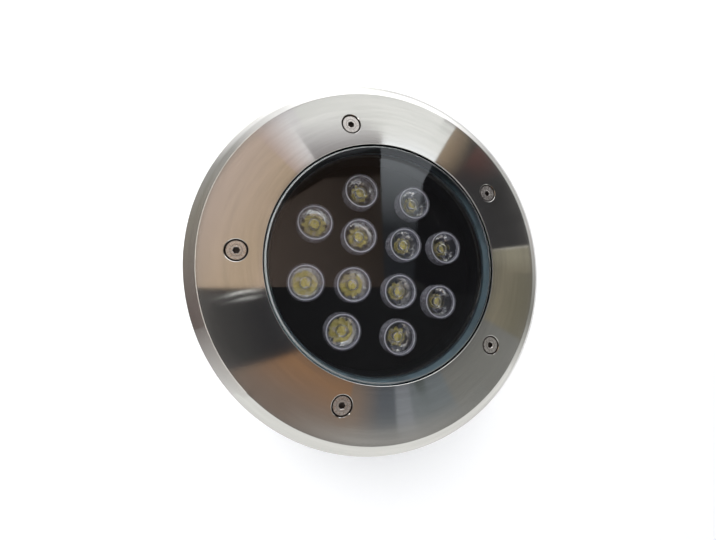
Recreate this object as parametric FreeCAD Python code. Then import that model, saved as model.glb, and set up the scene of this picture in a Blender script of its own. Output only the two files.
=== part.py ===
"""In-ground well light: a lamp with a stainless cover ring that drops into a plastic ground sleeve.

Millimetres, +Z up, origin at the middle of the sleeve's open foot.
Heights inside the lamp are worked out downwards from the cover ring's face.
"""
import FreeCAD
import Part

import math
import os

# ---------------------------------------------------------------- driving dimensions
# Cover ring, a turned stainless plate
RING_OVERHANG = 2.5
RING_LAND_UNDER_HEADS = 0.15
RING_BEVEL_WIDTH = 5.6
RING_BEVEL_DROP = 1.7
RING_EDGE_ROUND = 0.5
WINDOW_EDGE_CHAMFER = 0.4
WINDOW_SETBACK = 2.1

# Cover screws, countersunk with a hexagon socket
COVER_SCREW_COUNT = 5
COVER_SCREW_TO_GASKET_WALL = 1.85
COVER_SCREW_FIRST_ANGLE = 90.0
COVER_SCREW_RADIUS = 2.5
COVER_SCREW_LENGTH = 16.0
COVER_SCREW_HEAD_RADIUS = 4.8
COVER_SCREW_HEAD_LAND = 0.3
COVER_SCREW_SOCKET_FLATS = 3.0
COVER_SCREW_SOCKET_DEPTH = 1.7
COUNTERSINK_GAP = 0.6
SCREW_CLEARANCE = 0.05

# Stepped window glass, nearly flush with the ring's face, and its U-shaped silicone gasket
GLASS_FLANGE_THICKNESS = 6.3
GLASS_FLANGE_REACH = 6.0
GLASS_EDGE_CHAMFER = 0.6
GLASS_STEP_GAP = 0.6
GLASS_SUNK = 0.3
GLASS_FACE_CHAMFER = 1.1
GASKET_LIP_PROUD = 0.3
GASKET_TOP_LIP_SETBACK = 0.8
GASKET_TOP_LIP = 1.0
GASKET_BOTTOM_LIP = 1.5
GASKET_WALL = 1.5
GASKET_CLEARANCE = 0.05

# Die-cast lamp housing
HOUSING_FLANGE_MARGIN = 2.2
HOUSING_FLANGE_DEPTH = 14.0
HOUSING_WALL = 4.0
HOUSING_LEDGE_THICKNESS = 6.0
HOUSING_LEDGE_WIDTH = 13.2
HOUSING_DEPTH = 80.0
HOUSING_FLOOR = 4.0
HOUSING_FOOT_CHAMFER = 3.0
SCREW_BOSS_RADIUS = 6.5
SCREW_BOSS_DEPTH = 19.0
SCREW_BOSS_WEB = 6.0
RIB_COUNT = 20
RIB_THICKNESS = 2.4
RIB_HEIGHT = 11.0
RIB_FOOT_GAP = 4.0

# Light sources: a square of four inside a ring of eight
INNER_LIGHT_COUNT = 4
INNER_LIGHT_CIRCLE_RADIUS = 20.4
OUTER_LIGHT_COUNT = 8
OUTER_LIGHT_CIRCLE_RADIUS = 44.8
OUTER_LIGHT_EDGE_MARGIN = 5.4
OUTER_LIGHT_FIRST_ANGLE = 88.7
LENS_FRONT_DEPTH = 18.9
HOLDER_RADIUS = 10.6
HOLDER_WALL = 0.8
HOLDER_HEIGHT = 12.1
HOLDER_LEDGE = 1.4
HOLDER_RIM = 0.3
LENS_CLEARANCE = 0.05
LENS_FLANGE_THICKNESS = 1.8
LENS_FOOT_WALL = 1.3
LENS_CAVITY_CLEARANCE = 0.3
LENS_CAVITY_DEPTH = 5.0
LENS_DIMPLE_RADIUS = 3.4
LENS_DIMPLE_DEPTH = 0.9
LED_BASE_RADIUS = 3.6
LED_BASE_HEIGHT = 1.6
LED_DOME_RADIUS = 2.6
LED_TAB_LENGTH = 1.2
LED_TAB_WIDTH = 1.6
LED_TAB_THICKNESS = 0.4

# Black front plate around the light sources
PLATE_STANDOFF = 3.6
PLATE_THICKNESS = 2.0
PLATE_BORE_CLEARANCE = 0.4
PLATE_SKIRT_WALL = 2.0
PLATE_HOLE_CLEARANCE = 0.25

# Circuit board, thermal pad and carrier plate
BOARD_CLEARANCE = 1.8
BOARD_THICKNESS = 1.6
PAD_THICKNESS = 0.5
CARRIER_CLEARANCE = 0.4
CARRIER_THICKNESS = 3.0
WIRE_HOLE_RADIUS = 5.0
BOARD_SCREW_COUNT = 4
BOARD_SCREW_CIRCLE_RADIUS = 33.5
BOARD_SCREW_TURN = 22.5
CARRIER_SCREW_COUNT = 4
CARRIER_SCREW_EDGE_MARGIN = 1.3
CARRIER_SCREW_HEAD_CLEARANCE = 0.6
SMALL_SCREW_RADIUS = 1.5
SMALL_SCREW_HEAD_RADIUS = 2.6
SMALL_SCREW_HEAD_HEIGHT = 1.6
SMALL_SCREW_SLOT_WIDTH = 0.7
SMALL_SCREW_SLOT_DEPTH = 0.8
BOARD_SCREW_LENGTH = 4.0
CARRIER_SCREW_LENGTH = 7.0

# LED driver in the bottom of the housing
DRIVER_END_ROOM = 11.0
DRIVER_WIDTH = 32.0
DRIVER_HEIGHT = 20.0
DRIVER_OFFSET_Y = 14.0
DRIVER_CORNER_RADIUS = 3.0
DRIVER_TAB_LENGTH = 7.0
DRIVER_TAB_WIDTH = 14.0
DRIVER_TAB_THICKNESS = 2.5
DRIVER_SCREW_LENGTH = 5.0

# Terminal block beside the cable gland
TERMINAL_LENGTH = 16.0
TERMINAL_WIDTH = 16.0
TERMINAL_HEIGHT = 12.0
TERMINAL_WALL_ROOM_X = 22.5
TERMINAL_WALL_ROOM_Y = 26.5
TERMINAL_POLES = 2
TERMINAL_SCREW_WELL_RADIUS = 2.2
TERMINAL_SCREW_WELL_DEPTH = 4.0
TERMINAL_ENTRY_RADIUS = 1.8
TERMINAL_ENTRY_DEPTH = 5.0

# Wires inside the housing
WIRE_RADIUS = 0.8
WIRE_PAIR_SPACING = 3.0
WIRE_BEND_RADIUS = 3.0
WIRE_TAIL = 6.5
WIRE_LIFT = 0.3
WIRE_SIDESTEP = 5.0
WIRE_SIDESTEP_BEND_RADIUS = 2.0

# Cable gland in the housing floor
GLAND_WALL_ROOM = 16.0
GLAND_THREAD_RADIUS = 8.0
GLAND_THREAD_CLEARANCE = 0.1
GLAND_HEX_FLATS = 20.0
GLAND_HEX_HEIGHT = 5.0
GLAND_NECK_RADIUS = 8.2
GLAND_NECK_HEIGHT = 8.0
GLAND_BORE_RADIUS = 6.0
GLAND_ORING_RADIUS = 0.9
GLAND_ORING_SQUEEZE = 0.2
GLAND_LOCKNUT_FLATS = 20.0
GLAND_LOCKNUT_HEIGHT = 3.0
GLAND_THREAD_PROUD = 1.0
GLAND_NUT_FLATS = 20.0
GLAND_NUT_HEX_HEIGHT = 7.0
GLAND_NUT_HEIGHT = 14.0
GLAND_NUT_DOME_RADIUS = 7.0
GLAND_NUT_MOUTH_RADIUS = 5.0
GLAND_SEAL_CLEARANCE = 0.05
GLAND_SEAL_LENGTH = 11.0
CABLE_BORE_RADIUS = 3.75

# Plastic ground sleeve
SLEEVE_HEIGHT = 109.0
SLEEVE_CLEARANCE = 2.0
SLEEVE_WALL = 2.5
SLEEVE_RIM_REACH = 7.0
SLEEVE_FLANGE_THICKNESS = 2.5
SLEEVE_FOOT_LIP = 8.0
SLEEVE_NOTCH_RADIUS = 11.0
SLEEVE_NOTCH_HEIGHT = 20.0
SLEEVE_NOTCH_ANGLES = (0.0, 180.0)

# ---------------------------------------------------------------- radii worked out from the sizes
PLATE_SKIRT_RADIUS = OUTER_LIGHT_CIRCLE_RADIUS + HOLDER_RADIUS + OUTER_LIGHT_EDGE_MARGIN
PLATE_RADIUS = PLATE_SKIRT_RADIUS + PLATE_SKIRT_WALL
HOUSING_BORE_RADIUS = PLATE_RADIUS + PLATE_BORE_CLEARANCE
WINDOW_RADIUS = HOUSING_BORE_RADIUS + WINDOW_SETBACK
COVER_SCREW_HOLE_RADIUS = COVER_SCREW_RADIUS + SCREW_CLEARANCE
COUNTERSINK_RADIUS = COVER_SCREW_HEAD_RADIUS + COUNTERSINK_GAP
GLASS_RADIUS = WINDOW_RADIUS + GLASS_FLANGE_REACH
GASKET_OUTER_RADIUS = GLASS_RADIUS + GASKET_CLEARANCE + GASKET_WALL
GASKET_RECESS_RADIUS = GASKET_OUTER_RADIUS + GASKET_CLEARANCE
COVER_SCREW_CIRCLE_RADIUS = GASKET_RECESS_RADIUS + COVER_SCREW_TO_GASKET_WALL + COVER_SCREW_HOLE_RADIUS
HOUSING_FLANGE_RADIUS = COVER_SCREW_CIRCLE_RADIUS + SCREW_BOSS_RADIUS + HOUSING_FLANGE_MARGIN
HOUSING_LOWER_BORE_RADIUS = HOUSING_BORE_RADIUS - HOUSING_LEDGE_WIDTH
LOWER_BARREL_RADIUS = HOUSING_LOWER_BORE_RADIUS + HOUSING_WALL
GASKET_INNER_RADIUS = HOUSING_BORE_RADIUS - GASKET_LIP_PROUD
CARRIER_RADIUS = PLATE_SKIRT_RADIUS - CARRIER_CLEARANCE
BOARD_RADIUS = PLATE_SKIRT_RADIUS - BOARD_CLEARANCE
CARRIER_SCREW_HEAD_HOLE_RADIUS = SMALL_SCREW_HEAD_RADIUS + CARRIER_SCREW_HEAD_CLEARANCE
CARRIER_SCREW_CIRCLE_RADIUS = BOARD_RADIUS - CARRIER_SCREW_EDGE_MARGIN - CARRIER_SCREW_HEAD_HOLE_RADIUS
LENS_CAVITY_RADIUS = LED_BASE_RADIUS + LENS_CAVITY_CLEARANCE
LENS_FOOT_RADIUS = LENS_CAVITY_RADIUS + LENS_FOOT_WALL
SLEEVE_BORE_RADIUS = HOUSING_FLANGE_RADIUS + SLEEVE_CLEARANCE
SLEEVE_BARREL_RADIUS = SLEEVE_BORE_RADIUS + SLEEVE_WALL
SLEEVE_FLANGE_RADIUS = SLEEVE_BARREL_RADIUS + SLEEVE_RIM_REACH
RING_RADIUS = SLEEVE_FLANGE_RADIUS + RING_OVERHANG
RING_THICKNESS = COUNTERSINK_RADIUS - COVER_SCREW_HOLE_RADIUS + RING_LAND_UNDER_HEADS
DRIVER_LENGTH = 2 * (HOUSING_LOWER_BORE_RADIUS - DRIVER_END_ROOM - DRIVER_TAB_LENGTH)
TERMINAL_X = HOUSING_LOWER_BORE_RADIUS - TERMINAL_WALL_ROOM_X
TERMINAL_Y = TERMINAL_WALL_ROOM_Y - HOUSING_LOWER_BORE_RADIUS
GLAND_Y = GLAND_WALL_ROOM - HOUSING_LOWER_BORE_RADIUS

# ---------------------------------------------------------------- heights worked out from the sizes
FACE_Z = SLEEVE_HEIGHT + RING_THICKNESS
RING_UNDERSIDE_Z = FACE_Z - RING_THICKNESS
GLASS_FACE_Z = FACE_Z - GLASS_SUNK
GLASS_TOP_Z = RING_UNDERSIDE_Z - GASKET_TOP_LIP
GLASS_BOTTOM_Z = GLASS_TOP_Z - GLASS_FLANGE_THICKNESS
GLASS_SEAT_Z = GLASS_BOTTOM_Z - GASKET_BOTTOM_LIP
LENS_FRONT_Z = FACE_Z - LENS_FRONT_DEPTH
BOARD_TOP_Z = LENS_FRONT_Z - HOLDER_HEIGHT
PAD_TOP_Z = BOARD_TOP_Z - BOARD_THICKNESS
CARRIER_TOP_Z = PAD_TOP_Z - PAD_THICKNESS
LEDGE_Z = CARRIER_TOP_Z - CARRIER_THICKNESS
LEDGE_UNDERSIDE_Z = LEDGE_Z - HOUSING_LEDGE_THICKNESS
PLATE_TOP_Z = BOARD_TOP_Z + PLATE_STANDOFF + PLATE_THICKNESS
HOUSING_FOOT_Z = FACE_Z - HOUSING_DEPTH
FLOOR_Z = HOUSING_FOOT_Z + HOUSING_FLOOR
DRIVER_TOP_Z = FLOOR_Z + DRIVER_HEIGHT
WIRE_ENTRY_Z = FLOOR_Z + TERMINAL_HEIGHT / 2 - TERMINAL_ENTRY_RADIUS

# ---------------------------------------------------------------- small helpers
CUT_MARGIN = 1.0
Z_AXIS = FreeCAD.Vector(0, 0, 1)
ORIGIN = FreeCAD.Vector(0, 0, 0)
DRILL_TIP = 0.5


def point(x, y, z):
    """A point in the part's frame."""
    return FreeCAD.Vector(x, y, z)


def polar(radius, angle, z=0.0):
    """A point at a radius and an angle in degrees round +Z."""
    turn = math.radians(angle)
    return point(radius * math.cos(turn), radius * math.sin(turn), z)


def turned(outline):
    """The solid that an outline of (radius, height) points makes when it is turned round +Z."""
    corners = [point(r, 0, z) for r, z in outline]
    face = Part.Face(Part.makePolygon(corners + corners[:1]))
    return face.revolve(ORIGIN, Z_AXIS, 360)


def cylinder(radius, bottom, top, at=ORIGIN):
    """An upright cylinder between two heights, over the point at."""
    return Part.makeCylinder(radius, top - bottom, point(at.x, at.y, bottom))


def box(size_x, size_y, bottom, top, at=ORIGIN):
    """An upright box between two heights, centred over the point at."""
    corner = point(at.x - size_x / 2, at.y - size_y / 2, bottom)
    return Part.makeBox(size_x, size_y, top - bottom, corner)


def hexagon(flats, bottom, top, at=ORIGIN, turn=0.0):
    """An upright hexagonal prism with the given distance across its flats."""
    corner_radius = flats / math.sqrt(3)
    corners = [at + polar(corner_radius, turn + 60 * k) for k in range(6)]
    for corner in corners:
        corner.z = bottom
    face = Part.Face(Part.makePolygon(corners + corners[:1]))
    return face.extrude(point(0, 0, top - bottom))


def ring_points(count, radius, first_angle):
    """Evenly spaced points on a circle."""
    return [polar(radius, first_angle + 360.0 * k / count) for k in range(count)]


def joined(shapes):
    """One solid made from several that meet."""
    first, *rest = shapes
    return first.multiFuse(rest).removeSplitter() if rest else first


def wire_tube(route, radius, bend):
    """A round wire along straight runs joined by tangent arcs."""
    edges = []
    start = route[0]
    for before, corner, after in zip(route, route[1:], route[2:]):
        inward = (before - corner).normalize()
        outward = (after - corner).normalize()
        half_turn = inward.getAngle(outward) / 2
        setback = bend / math.tan(half_turn)
        arc_start = corner + inward * setback
        arc_end = corner + outward * setback
        bisector = (inward + outward).normalize()
        middle = corner + bisector * (bend / math.sin(half_turn) - bend)
        edges.append(Part.LineSegment(start, arc_start).toShape())
        edges.append(Part.Arc(arc_start, middle, arc_end).toShape())
        start = arc_end
    edges.append(Part.LineSegment(start, route[-1]).toShape())
    path = Part.Wire(edges)
    section = Part.Wire(Part.makeCircle(radius, route[0], route[1] - route[0]))
    return path.makePipeShell([section], True, False)


def light_points():
    """Places of the light sources: the outer ring first, then the inner square."""
    outer = ring_points(OUTER_LIGHT_COUNT, OUTER_LIGHT_CIRCLE_RADIUS, OUTER_LIGHT_FIRST_ANGLE)
    half_step = 180.0 / OUTER_LIGHT_COUNT
    inner_first = OUTER_LIGHT_FIRST_ANGLE + half_step
    return outer + ring_points(INNER_LIGHT_COUNT, INNER_LIGHT_CIRCLE_RADIUS, inner_first)


def cover_screw_points():
    """Places of the cover screws."""
    return ring_points(COVER_SCREW_COUNT, COVER_SCREW_CIRCLE_RADIUS, COVER_SCREW_FIRST_ANGLE)


def board_screw_points():
    """Places of the screws that hold the board, between the light sources."""
    first = OUTER_LIGHT_FIRST_ANGLE + BOARD_SCREW_TURN + 180.0 / BOARD_SCREW_COUNT
    return ring_points(BOARD_SCREW_COUNT, BOARD_SCREW_CIRCLE_RADIUS, first)


def carrier_screw_points():
    """Places of the screws that hold the carrier on the ledge, outside the gaps between outer lights."""
    first = OUTER_LIGHT_FIRST_ANGLE + 180.0 / OUTER_LIGHT_COUNT
    return ring_points(CARRIER_SCREW_COUNT, CARRIER_SCREW_CIRCLE_RADIUS, first)


def driver_screw_points():
    """Places of the two screws in the driver's end tabs."""
    reach = DRIVER_LENGTH / 2 + DRIVER_TAB_LENGTH / 2
    return [point(side * reach, DRIVER_OFFSET_Y, 0) for side in (-1, 1)]


# ---------------------------------------------------------------- cover ring, screws, glass and gasket
def cover_ring():
    """Flat stainless ring with a shallow bevelled edge and countersunk holes."""
    top, bottom = FACE_Z, RING_UNDERSIDE_Z
    bevel_z = top - RING_BEVEL_DROP
    ring = turned([
        (WINDOW_RADIUS, bottom),
        (RING_RADIUS, bottom),
        (RING_RADIUS, bevel_z - RING_EDGE_ROUND),
        (RING_RADIUS - RING_EDGE_ROUND, bevel_z),
        (RING_RADIUS - RING_BEVEL_WIDTH, top),
        (WINDOW_RADIUS + WINDOW_EDGE_CHAMFER, top),
        (WINDOW_RADIUS, top - WINDOW_EDGE_CHAMFER),
    ])
    shank_hole = COVER_SCREW_HOLE_RADIUS
    cone_depth = COUNTERSINK_RADIUS - shank_hole
    for place in cover_screw_points():
        ring = ring.cut(cylinder(shank_hole, bottom - CUT_MARGIN, top + CUT_MARGIN, place))
        cone_foot = point(place.x, place.y, top - cone_depth)
        ring = ring.cut(Part.makeCone(shank_hole, COUNTERSINK_RADIUS, cone_depth, cone_foot))
    return ring


def cover_screw(place):
    """One countersunk screw, seated in its countersink just under the ring's face."""
    sunk = COUNTERSINK_RADIUS - COVER_SCREW_HEAD_RADIUS - SCREW_CLEARANCE
    head_top = FACE_Z - sunk + COVER_SCREW_HEAD_LAND
    cone_top = head_top - COVER_SCREW_HEAD_LAND
    cone_height = COVER_SCREW_HEAD_RADIUS - COVER_SCREW_RADIUS
    screw = turned([
        (0, head_top - COVER_SCREW_LENGTH),
        (COVER_SCREW_RADIUS - DRILL_TIP, head_top - COVER_SCREW_LENGTH),
        (COVER_SCREW_RADIUS, head_top - COVER_SCREW_LENGTH + DRILL_TIP),
        (COVER_SCREW_RADIUS, cone_top - cone_height),
        (COVER_SCREW_HEAD_RADIUS, cone_top),
        (COVER_SCREW_HEAD_RADIUS, head_top),
        (0, head_top),
    ])
    socket_foot = head_top - COVER_SCREW_SOCKET_DEPTH
    screw = screw.cut(hexagon(COVER_SCREW_SOCKET_FLATS, socket_foot, head_top + CUT_MARGIN))
    screw.translate(point(place.x, place.y, 0))
    return screw


def cover_screws():
    """All the cover screws, each a solid of its own."""
    return Part.makeCompound([cover_screw(place) for place in cover_screw_points()])


def window_glass():
    """Toughened glass: a flange held under the ring and a step that fills the window."""
    edge = GLASS_EDGE_CHAMFER
    step = WINDOW_RADIUS - GLASS_STEP_GAP
    return turned([
        (0, GLASS_BOTTOM_Z),
        (GLASS_RADIUS - edge, GLASS_BOTTOM_Z),
        (GLASS_RADIUS, GLASS_BOTTOM_Z + edge),
        (GLASS_RADIUS, GLASS_TOP_Z - edge),
        (GLASS_RADIUS - edge, GLASS_TOP_Z),
        (step, GLASS_TOP_Z),
        (step, GLASS_FACE_Z - GLASS_FACE_CHAMFER),
        (step - GLASS_FACE_CHAMFER, GLASS_FACE_Z),
        (0, GLASS_FACE_Z),
    ])


def glass_gasket():
    """U-shaped silicone ring that wraps the edge of the glass."""
    inside = GLASS_RADIUS + GASKET_CLEARANCE
    top_lip = WINDOW_RADIUS + GASKET_TOP_LIP_SETBACK
    return turned([
        (GASKET_INNER_RADIUS, GLASS_SEAT_Z),
        (GASKET_OUTER_RADIUS, GLASS_SEAT_Z),
        (GASKET_OUTER_RADIUS, RING_UNDERSIDE_Z),
        (top_lip, RING_UNDERSIDE_Z),
        (top_lip, GLASS_TOP_Z),
        (inside, GLASS_TOP_Z),
        (inside, GLASS_BOTTOM_Z),
        (GASKET_INNER_RADIUS, GLASS_BOTTOM_Z),
    ])


# ---------------------------------------------------------------- housing
def housing_shell():
    """The turned part of the housing: flange, glass recess, upper and lower barrels and floor."""
    recess = GASKET_RECESS_RADIUS
    flange_foot = RING_UNDERSIDE_Z - HOUSING_FLANGE_DEPTH
    barrel = HOUSING_BORE_RADIUS + HOUSING_WALL
    foot_edge = HOUSING_FOOT_CHAMFER
    return turned([
        (0, HOUSING_FOOT_Z),
        (LOWER_BARREL_RADIUS - foot_edge, HOUSING_FOOT_Z),
        (LOWER_BARREL_RADIUS, HOUSING_FOOT_Z + foot_edge),
        (LOWER_BARREL_RADIUS, LEDGE_UNDERSIDE_Z),
        (barrel, LEDGE_UNDERSIDE_Z),
        (barrel, flange_foot),
        (HOUSING_FLANGE_RADIUS, flange_foot),
        (HOUSING_FLANGE_RADIUS, RING_UNDERSIDE_Z),
        (recess, RING_UNDERSIDE_Z),
        (recess, GLASS_SEAT_Z),
        (HOUSING_BORE_RADIUS, GLASS_SEAT_Z),
        (HOUSING_BORE_RADIUS, LEDGE_Z),
        (HOUSING_LOWER_BORE_RADIUS, LEDGE_Z),
        (HOUSING_LOWER_BORE_RADIUS, FLOOR_Z),
        (0, FLOOR_Z),
    ])


def housing_rib(angle):
    """One cooling rib on the lower barrel."""
    bottom = HOUSING_FOOT_Z + RIB_FOOT_GAP
    reach = HOUSING_WALL / 2 + RIB_HEIGHT
    middle = LOWER_BARREL_RADIUS + RIB_HEIGHT - reach / 2
    rib = box(reach, RIB_THICKNESS, bottom, LEDGE_UNDERSIDE_Z, point(middle, 0, 0))
    rib.rotate(ORIGIN, Z_AXIS, angle)
    return rib


def screw_boss(place):
    """A boss under a cover screw, with a web that ties it to the upper barrel."""
    boss_foot = RING_UNDERSIDE_Z - SCREW_BOSS_DEPTH
    boss = cylinder(SCREW_BOSS_RADIUS, boss_foot, RING_UNDERSIDE_Z, place)
    barrel_middle = HOUSING_BORE_RADIUS + HOUSING_WALL / 2
    web_length = COVER_SCREW_CIRCLE_RADIUS - barrel_middle
    web_at = point(barrel_middle + web_length / 2, 0, 0)
    web = box(web_length, SCREW_BOSS_WEB, boss_foot, RING_UNDERSIDE_Z, web_at)
    web.rotate(ORIGIN, Z_AXIS, math.degrees(math.atan2(place.y, place.x)))
    return boss.fuse(web)


def lamp_housing():
    """Die-cast cup that carries everything in the lamp."""
    bosses = [screw_boss(place) for place in cover_screw_points()]
    ribs = [housing_rib(360.0 * k / RIB_COUNT) for k in range(RIB_COUNT)]
    housing = joined([housing_shell()] + bosses + ribs)
    hole = COVER_SCREW_HOLE_RADIUS
    hole_foot = FACE_Z - COVER_SCREW_LENGTH - CUT_MARGIN
    cuts = [cylinder(hole, hole_foot, RING_UNDERSIDE_Z + CUT_MARGIN, place) for place in cover_screw_points()]
    small_hole = SMALL_SCREW_RADIUS + SCREW_CLEARANCE
    carrier_hole_foot = CARRIER_TOP_Z - CARRIER_SCREW_LENGTH - DRILL_TIP
    for place in carrier_screw_points():
        cuts.append(cylinder(small_hole, carrier_hole_foot, LEDGE_Z + CUT_MARGIN, place))
    driver_hole_foot = FLOOR_Z + DRIVER_TAB_THICKNESS - DRIVER_SCREW_LENGTH - DRILL_TIP
    for place in driver_screw_points():
        cuts.append(cylinder(small_hole, driver_hole_foot, FLOOR_Z + CUT_MARGIN, place))
    gland_hole = GLAND_THREAD_RADIUS + GLAND_THREAD_CLEARANCE
    gland_place = point(0, GLAND_Y, 0)
    cuts.append(cylinder(gland_hole, HOUSING_FOOT_Z - CUT_MARGIN, FLOOR_Z + CUT_MARGIN, gland_place))
    bore_space = turned([
        (0, LEDGE_Z),
        (HOUSING_BORE_RADIUS, LEDGE_Z),
        (HOUSING_BORE_RADIUS, GLASS_SEAT_Z),
        (GASKET_RECESS_RADIUS, GLASS_SEAT_Z),
        (GASKET_RECESS_RADIUS, RING_UNDERSIDE_Z + CUT_MARGIN),
        (0, RING_UNDERSIDE_Z + CUT_MARGIN),
    ])
    return housing.cut(Part.makeCompound(cuts)).cut(bore_space)


# ---------------------------------------------------------------- light sources
def lens_holder(place):
    """Clear cup that stands on the board, with a ledge under the lens flange."""
    inner = HOLDER_RADIUS - HOLDER_WALL
    ledge_top = LENS_FRONT_Z - HOLDER_RIM - LENS_FLANGE_THICKNESS
    holder = turned([
        (inner, BOARD_TOP_Z),
        (HOLDER_RADIUS, BOARD_TOP_Z),
        (HOLDER_RADIUS, LENS_FRONT_Z),
        (inner, LENS_FRONT_Z),
        (inner, ledge_top),
        (inner - HOLDER_LEDGE, ledge_top),
        (inner, ledge_top - HOLDER_LEDGE),
    ])
    holder.translate(point(place.x, place.y, 0))
    return holder


def collimator_lens(place):
    """Clear cone that gathers the light, with a flange on the holder's ledge."""
    flange = HOLDER_RADIUS - HOLDER_WALL - LENS_CLEARANCE
    cone_top = flange - HOLDER_LEDGE
    top = LENS_FRONT_Z - HOLDER_RIM
    flange_foot = top - LENS_FLANGE_THICKNESS
    foot = BOARD_TOP_Z + LED_BASE_HEIGHT / 2
    lens = turned([
        (LENS_CAVITY_RADIUS, foot),
        (LENS_FOOT_RADIUS, foot),
        (cone_top, flange_foot),
        (flange, flange_foot),
        (flange, top),
        (LENS_DIMPLE_RADIUS, top),
        (LENS_DIMPLE_RADIUS - LENS_DIMPLE_DEPTH, top - LENS_DIMPLE_DEPTH),
        (0, top - LENS_DIMPLE_DEPTH),
        (0, foot + LENS_CAVITY_DEPTH),
        (LENS_CAVITY_RADIUS, foot + LENS_CAVITY_DEPTH),
    ])
    lens.translate(point(place.x, place.y, 0))
    return lens


def led_emitter(place):
    """Light-emitting diode: round base with two solder tabs, and a dome over the chip."""
    base_top = BOARD_TOP_Z + LED_BASE_HEIGHT
    base = cylinder(LED_BASE_RADIUS, BOARD_TOP_Z, base_top)
    dome = Part.makeSphere(LED_DOME_RADIUS, point(0, 0, base_top), Z_AXIS, 0, 90, 360)
    tab_span = 2 * (LED_BASE_RADIUS + LED_TAB_LENGTH)
    tabs = box(tab_span, LED_TAB_WIDTH, BOARD_TOP_Z, BOARD_TOP_Z + LED_TAB_THICKNESS)
    emitter = joined([base, dome, tabs])
    emitter.rotate(ORIGIN, Z_AXIS, math.degrees(math.atan2(place.y, place.x)))
    emitter.translate(point(place.x, place.y, 0))
    return emitter


# ---------------------------------------------------------------- front plate, board, pad, carrier
def front_plate():
    """Black plate with a hole round each lens holder and a skirt down to the housing's ledge."""
    rim = PLATE_RADIUS
    skirt = PLATE_SKIRT_RADIUS
    underside = PLATE_TOP_Z - PLATE_THICKNESS
    plate = turned([
        (0, underside),
        (skirt, underside),
        (skirt, LEDGE_Z),
        (rim, LEDGE_Z),
        (rim, PLATE_TOP_Z),
        (0, PLATE_TOP_Z),
    ])
    hole = HOLDER_RADIUS + PLATE_HOLE_CLEARANCE
    holes = [cylinder(hole, underside - CUT_MARGIN, PLATE_TOP_Z + CUT_MARGIN, place) for place in light_points()]
    return plate.cut(Part.makeCompound(holes))


def drilled_disc(radius, bottom, top, carrier_hole):
    """A disc with the wire hole and both sets of screw holes cut through it."""
    board_hole = SMALL_SCREW_RADIUS + SCREW_CLEARANCE
    low, high = bottom - CUT_MARGIN, top + CUT_MARGIN
    cuts = [cylinder(WIRE_HOLE_RADIUS, low, high)]
    cuts += [cylinder(board_hole, low, high, place) for place in board_screw_points()]
    cuts += [cylinder(carrier_hole, low, high, place) for place in carrier_screw_points()]
    return cylinder(radius, bottom, top).cut(Part.makeCompound(cuts))


def led_board():
    """Metal-cored board; its larger holes leave room for the carrier screws' heads."""
    return drilled_disc(BOARD_RADIUS, PAD_TOP_Z, BOARD_TOP_Z, CARRIER_SCREW_HEAD_HOLE_RADIUS)


def thermal_pad():
    """Soft heat-conducting sheet under the board."""
    return drilled_disc(BOARD_RADIUS, CARRIER_TOP_Z, PAD_TOP_Z, CARRIER_SCREW_HEAD_HOLE_RADIUS)


def carrier_plate():
    """Aluminium plate that takes the board's heat to the housing's ledge."""
    hole = SMALL_SCREW_RADIUS + SCREW_CLEARANCE
    return drilled_disc(CARRIER_RADIUS, LEDGE_Z, CARRIER_TOP_Z, hole)


def small_screw(place, seat_z, length):
    """A slotted pan-head screw whose head sits on a surface at seat_z."""
    head_top = seat_z + SMALL_SCREW_HEAD_HEIGHT
    head = cylinder(SMALL_SCREW_HEAD_RADIUS, seat_z, head_top, place)
    shank = cylinder(SMALL_SCREW_RADIUS, seat_z - length, seat_z, place)
    slot_foot = head_top - SMALL_SCREW_SLOT_DEPTH
    slot_length = 2 * SMALL_SCREW_HEAD_RADIUS + CUT_MARGIN
    slot = box(slot_length, SMALL_SCREW_SLOT_WIDTH, slot_foot, head_top + CUT_MARGIN, place)
    return joined([head, shank]).cut(slot)


def small_screws(places, seat_z, length):
    """A set of small screws, each a solid of its own."""
    return Part.makeCompound([small_screw(place, seat_z, length) for place in places])


# ---------------------------------------------------------------- driver, terminal block and wires
def led_driver():
    """Potted driver case with two screw tabs."""
    at = point(0, DRIVER_OFFSET_Y, 0)
    case = box(DRIVER_LENGTH, DRIVER_WIDTH, FLOOR_Z, DRIVER_TOP_Z, at)
    upright = [e for e in case.Edges if abs(e.Vertexes[0].Z - e.Vertexes[1].Z) > DRIVER_HEIGHT / 2]
    case = case.makeFillet(DRIVER_CORNER_RADIUS, upright)
    tab_span = DRIVER_LENGTH + 2 * DRIVER_TAB_LENGTH
    tabs = box(tab_span, DRIVER_TAB_WIDTH, FLOOR_Z, FLOOR_Z + DRIVER_TAB_THICKNESS, at)
    driver = joined([case, tabs])
    hole = SMALL_SCREW_RADIUS + SCREW_CLEARANCE
    low, high = FLOOR_Z - CUT_MARGIN, FLOOR_Z + DRIVER_TAB_THICKNESS + CUT_MARGIN
    cuts = [cylinder(hole, low, high, place) for place in driver_screw_points()]
    return driver.cut(Part.makeCompound(cuts))


def terminal_pole_x(pole):
    """The X of one of the terminal block's poles."""
    pitch = TERMINAL_LENGTH / TERMINAL_POLES
    return TERMINAL_X + (pole - (TERMINAL_POLES - 1) / 2) * pitch


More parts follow.
